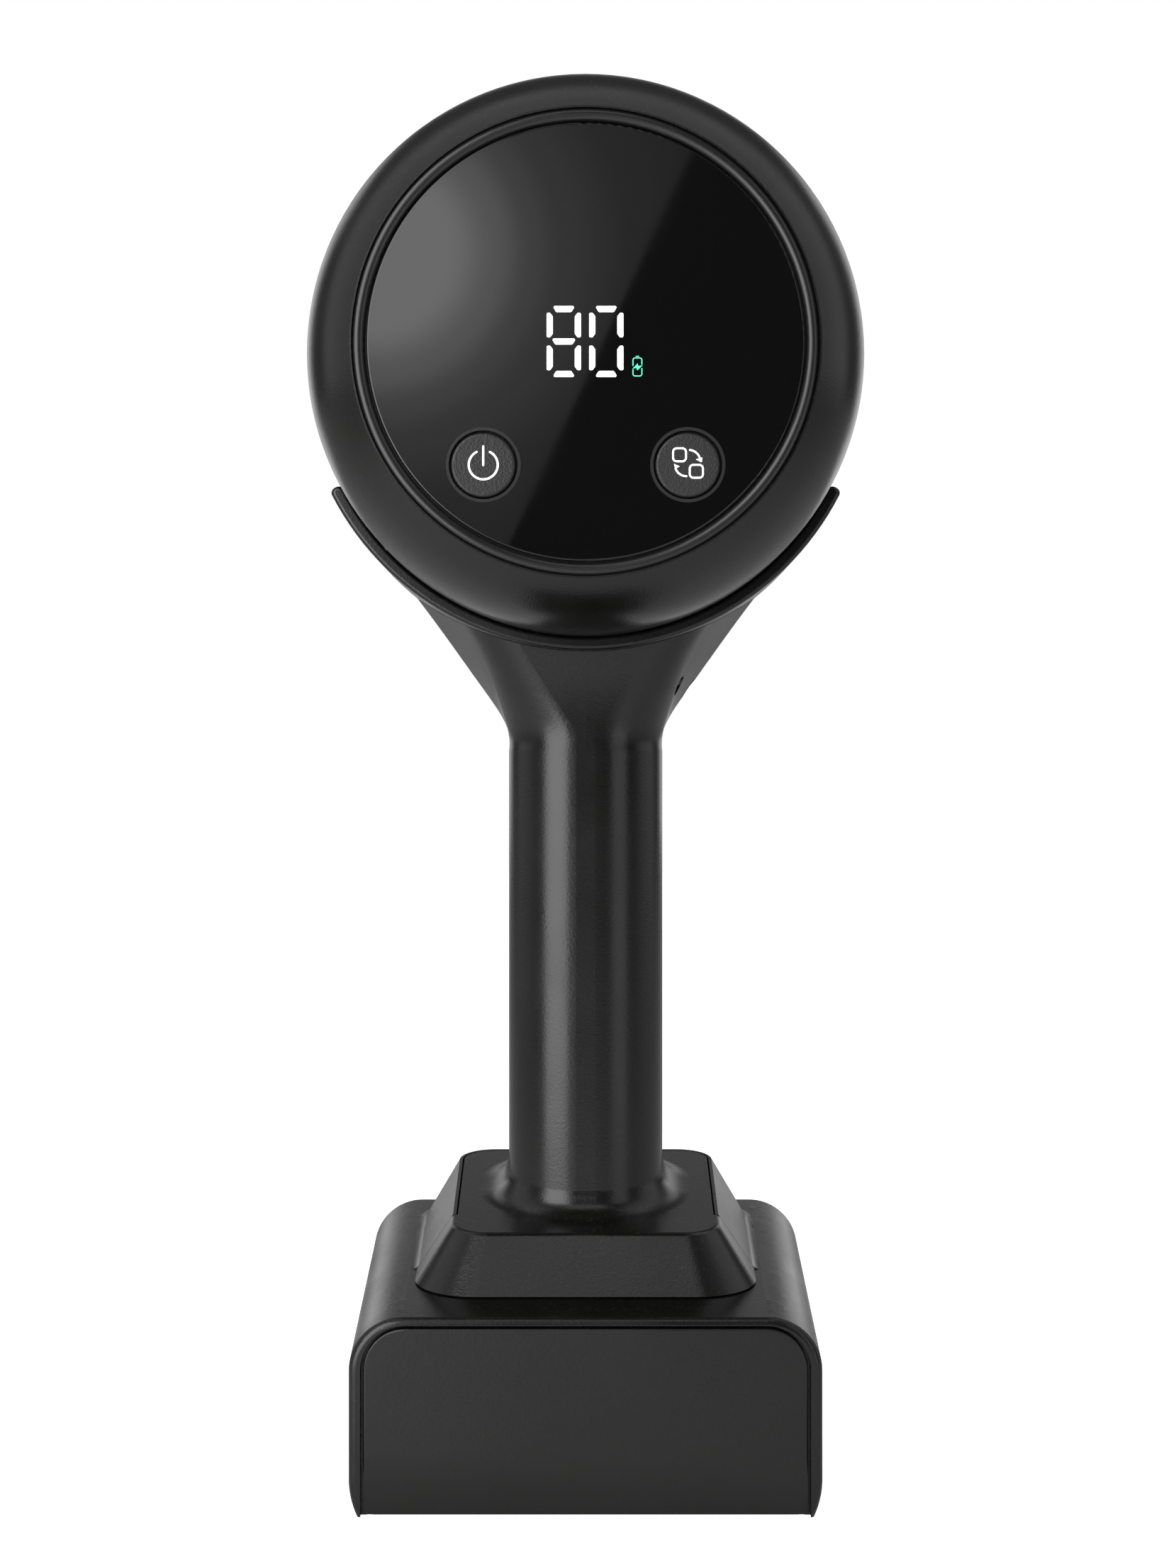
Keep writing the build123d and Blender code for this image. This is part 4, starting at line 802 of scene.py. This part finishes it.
def area_light(name, angle, distance, low, high, width, radiance):
    """Upright softbox at an angle in degrees to the left of the front, facing the object's axis."""
    size_y = high - low
    data = bpy.data.lights.new(name, "AREA")
    data.shape = "RECTANGLE"
    data.size = width
    data.size_y = size_y
    data.energy = radiance * pi * width * size_y
    light = bpy.data.objects.new(name, data)
    turn = radians(angle)
    light.location = (-distance * sin(turn), -distance * cos(turn), (low + high) / 2)
    light.rotation_euler = (pi / 2, 0.0, -turn)
    light.visible_camera = False
    bpy.context.scene.collection.objects.link(light)
    return light


# name, angle, distance, low edge, high edge, width and setting, in degrees and metres
SOFTBOXES = (
    ("key_softbox", 34, 0.75, 0.0, 1.0, 0.54, "key_radiance"),
    ("fill_softbox", -42, 0.75, 0.0, 0.9, 0.34, "fill_radiance"),
    ("rear_left_softbox", 150, 0.85, 0.15, 0.75, 0.30, "rear_radiance"),
    ("rear_right_softbox", -150, 0.85, 0.15, 0.75, 0.30, "rear_radiance"),
    ("top_softbox", 0, 0.60, 0.95, 1.25, 0.42, "top_radiance"),
)
TOP_AIM = (0.0, 0.0, 0.15)


def build_lights(settings):
    """Softboxes from the table; the last one is tipped down towards the object."""
    for *place, setting in SOFTBOXES:
        light = area_light(*place, getattr(settings, setting))
    light.rotation_euler = (Vector(TOP_AIM) - light.location).to_track_quat("-Z", "Y").to_euler()


CARD_Y = -870.0
CARD_BRIGHT = (-0.100, 0.0, 0.425)
CARD_REACH = 0.16
CARD_CORNERS = ((-112.0, 270.0), (-44.8, 270.0), (60.4, 495.0), (-112.0, 495.0))
CARD_LEVELS = ((0.0, 1.0), (0.22, 1.0), (0.36, 0.58), (0.46, 0.32), (0.56, 0.21), (0.77, 0.12), (1.0, 0.09))


def build_glass_card(settings):
    """Small slanted lit card behind the camera, seen only as the reflection in the glass."""
    name = "reflection_card"
    card, tree, shader = start_material(name)
    tree.nodes.remove(shader)
    place = tree.nodes.new("ShaderNodeTexCoord").outputs["Object"]
    flat = add_node(tree, "ShaderNodeMapping")
    flat.inputs["Scale"].default_value = (1.0, 0.0, 1.0)
    tree.links.new(place, flat.inputs["Vector"])
    gap = add_node(tree, "ShaderNodeVectorMath", operation="DISTANCE")
    tree.links.new(flat.outputs["Vector"], gap.inputs[0])
    gap.inputs[1].default_value = CARD_BRIGHT
    glow = tree.nodes.new("ShaderNodeEmission")
    reach = map_range(tree, gap.outputs["Value"], 0.0, 1.0, 0.0, CARD_REACH)
    tree.links.new(falloff(tree, reach, CARD_LEVELS), glow.inputs["Color"])
    glow.inputs["Strength"].default_value = settings.card_radiance
    tree.links.new(glow.outputs[0], tree.nodes["Material Output"].inputs["Surface"])
    points = [(x, CARD_Y, z) for x, z in CARD_CORNERS]
    sheet = new_object(name, mesh_from(name, points, [(0, 1, 2, 3)]), name)
    sheet.visible_camera = False
    sheet.visible_diffuse = False
    sheet.visible_shadow = False


CAMERA_PLACE = (0.00058, -0.860, 0.1757)
CAMERA_LENS = 79.14
CAMERA_SENSOR = 36.0


def build_camera(scene):
    """Level camera straight in front."""
    data = bpy.data.cameras.new("camera")
    data.sensor_width = CAMERA_SENSOR
    data.lens = CAMERA_LENS
    data.clip_start = 0.01
    camera = bpy.data.objects.new("camera", data)
    camera.location = CAMERA_PLACE
    camera.rotation_euler = (radians(90), 0, 0)
    scene.collection.objects.link(camera)
    scene.camera = camera


class MASSAGER_PT_panel(Panel):
    """Sidebar panel that lists the building steps"""

    bl_idname = "MASSAGER_PT_panel"
    bl_label = "Handheld Massager"
    bl_space_type = "VIEW_3D"
    bl_region_type = "UI"
    bl_category = "Massager"

    def draw(self, context):
        scene = context.scene
        for settings in (scene.massager_finish, scene.massager_display, scene.massager_stage):
            box = self.layout.box()
            for name in settings.__annotations__:
                box.prop(settings, name)
        for operator in STEPS:
            self.layout.operator(operator.bl_idname)


STEPS = (
    MASSAGER_OT_finish_frame, MASSAGER_OT_display_digits, MASSAGER_OT_button_symbols, MASSAGER_OT_stage,
)
SETTINGS = {
    "massager_finish": FinishSettings, "massager_display": DisplaySettings, "massager_stage": StageSettings,
}


def register():
    """Registers the settings, steps and panel."""
    for kind in (*SETTINGS.values(), *STEPS, MASSAGER_PT_panel):
        bpy.utils.register_class(kind)
    for name, kind in SETTINGS.items():
        setattr(bpy.types.Scene, name, PointerProperty(type=kind))


def unregister():
    """Takes them out again."""
    for name in SETTINGS:
        delattr(bpy.types.Scene, name)
    for kind in reversed((*SETTINGS.values(), *STEPS, MASSAGER_PT_panel)):
        bpy.utils.unregister_class(kind)


def main():
    """Runs every step."""
    register()
    for step in STEPS:
        area, name = step.bl_idname.split(".")
        getattr(getattr(bpy.ops, area), name)()


if __name__ == "__main__":
    main()
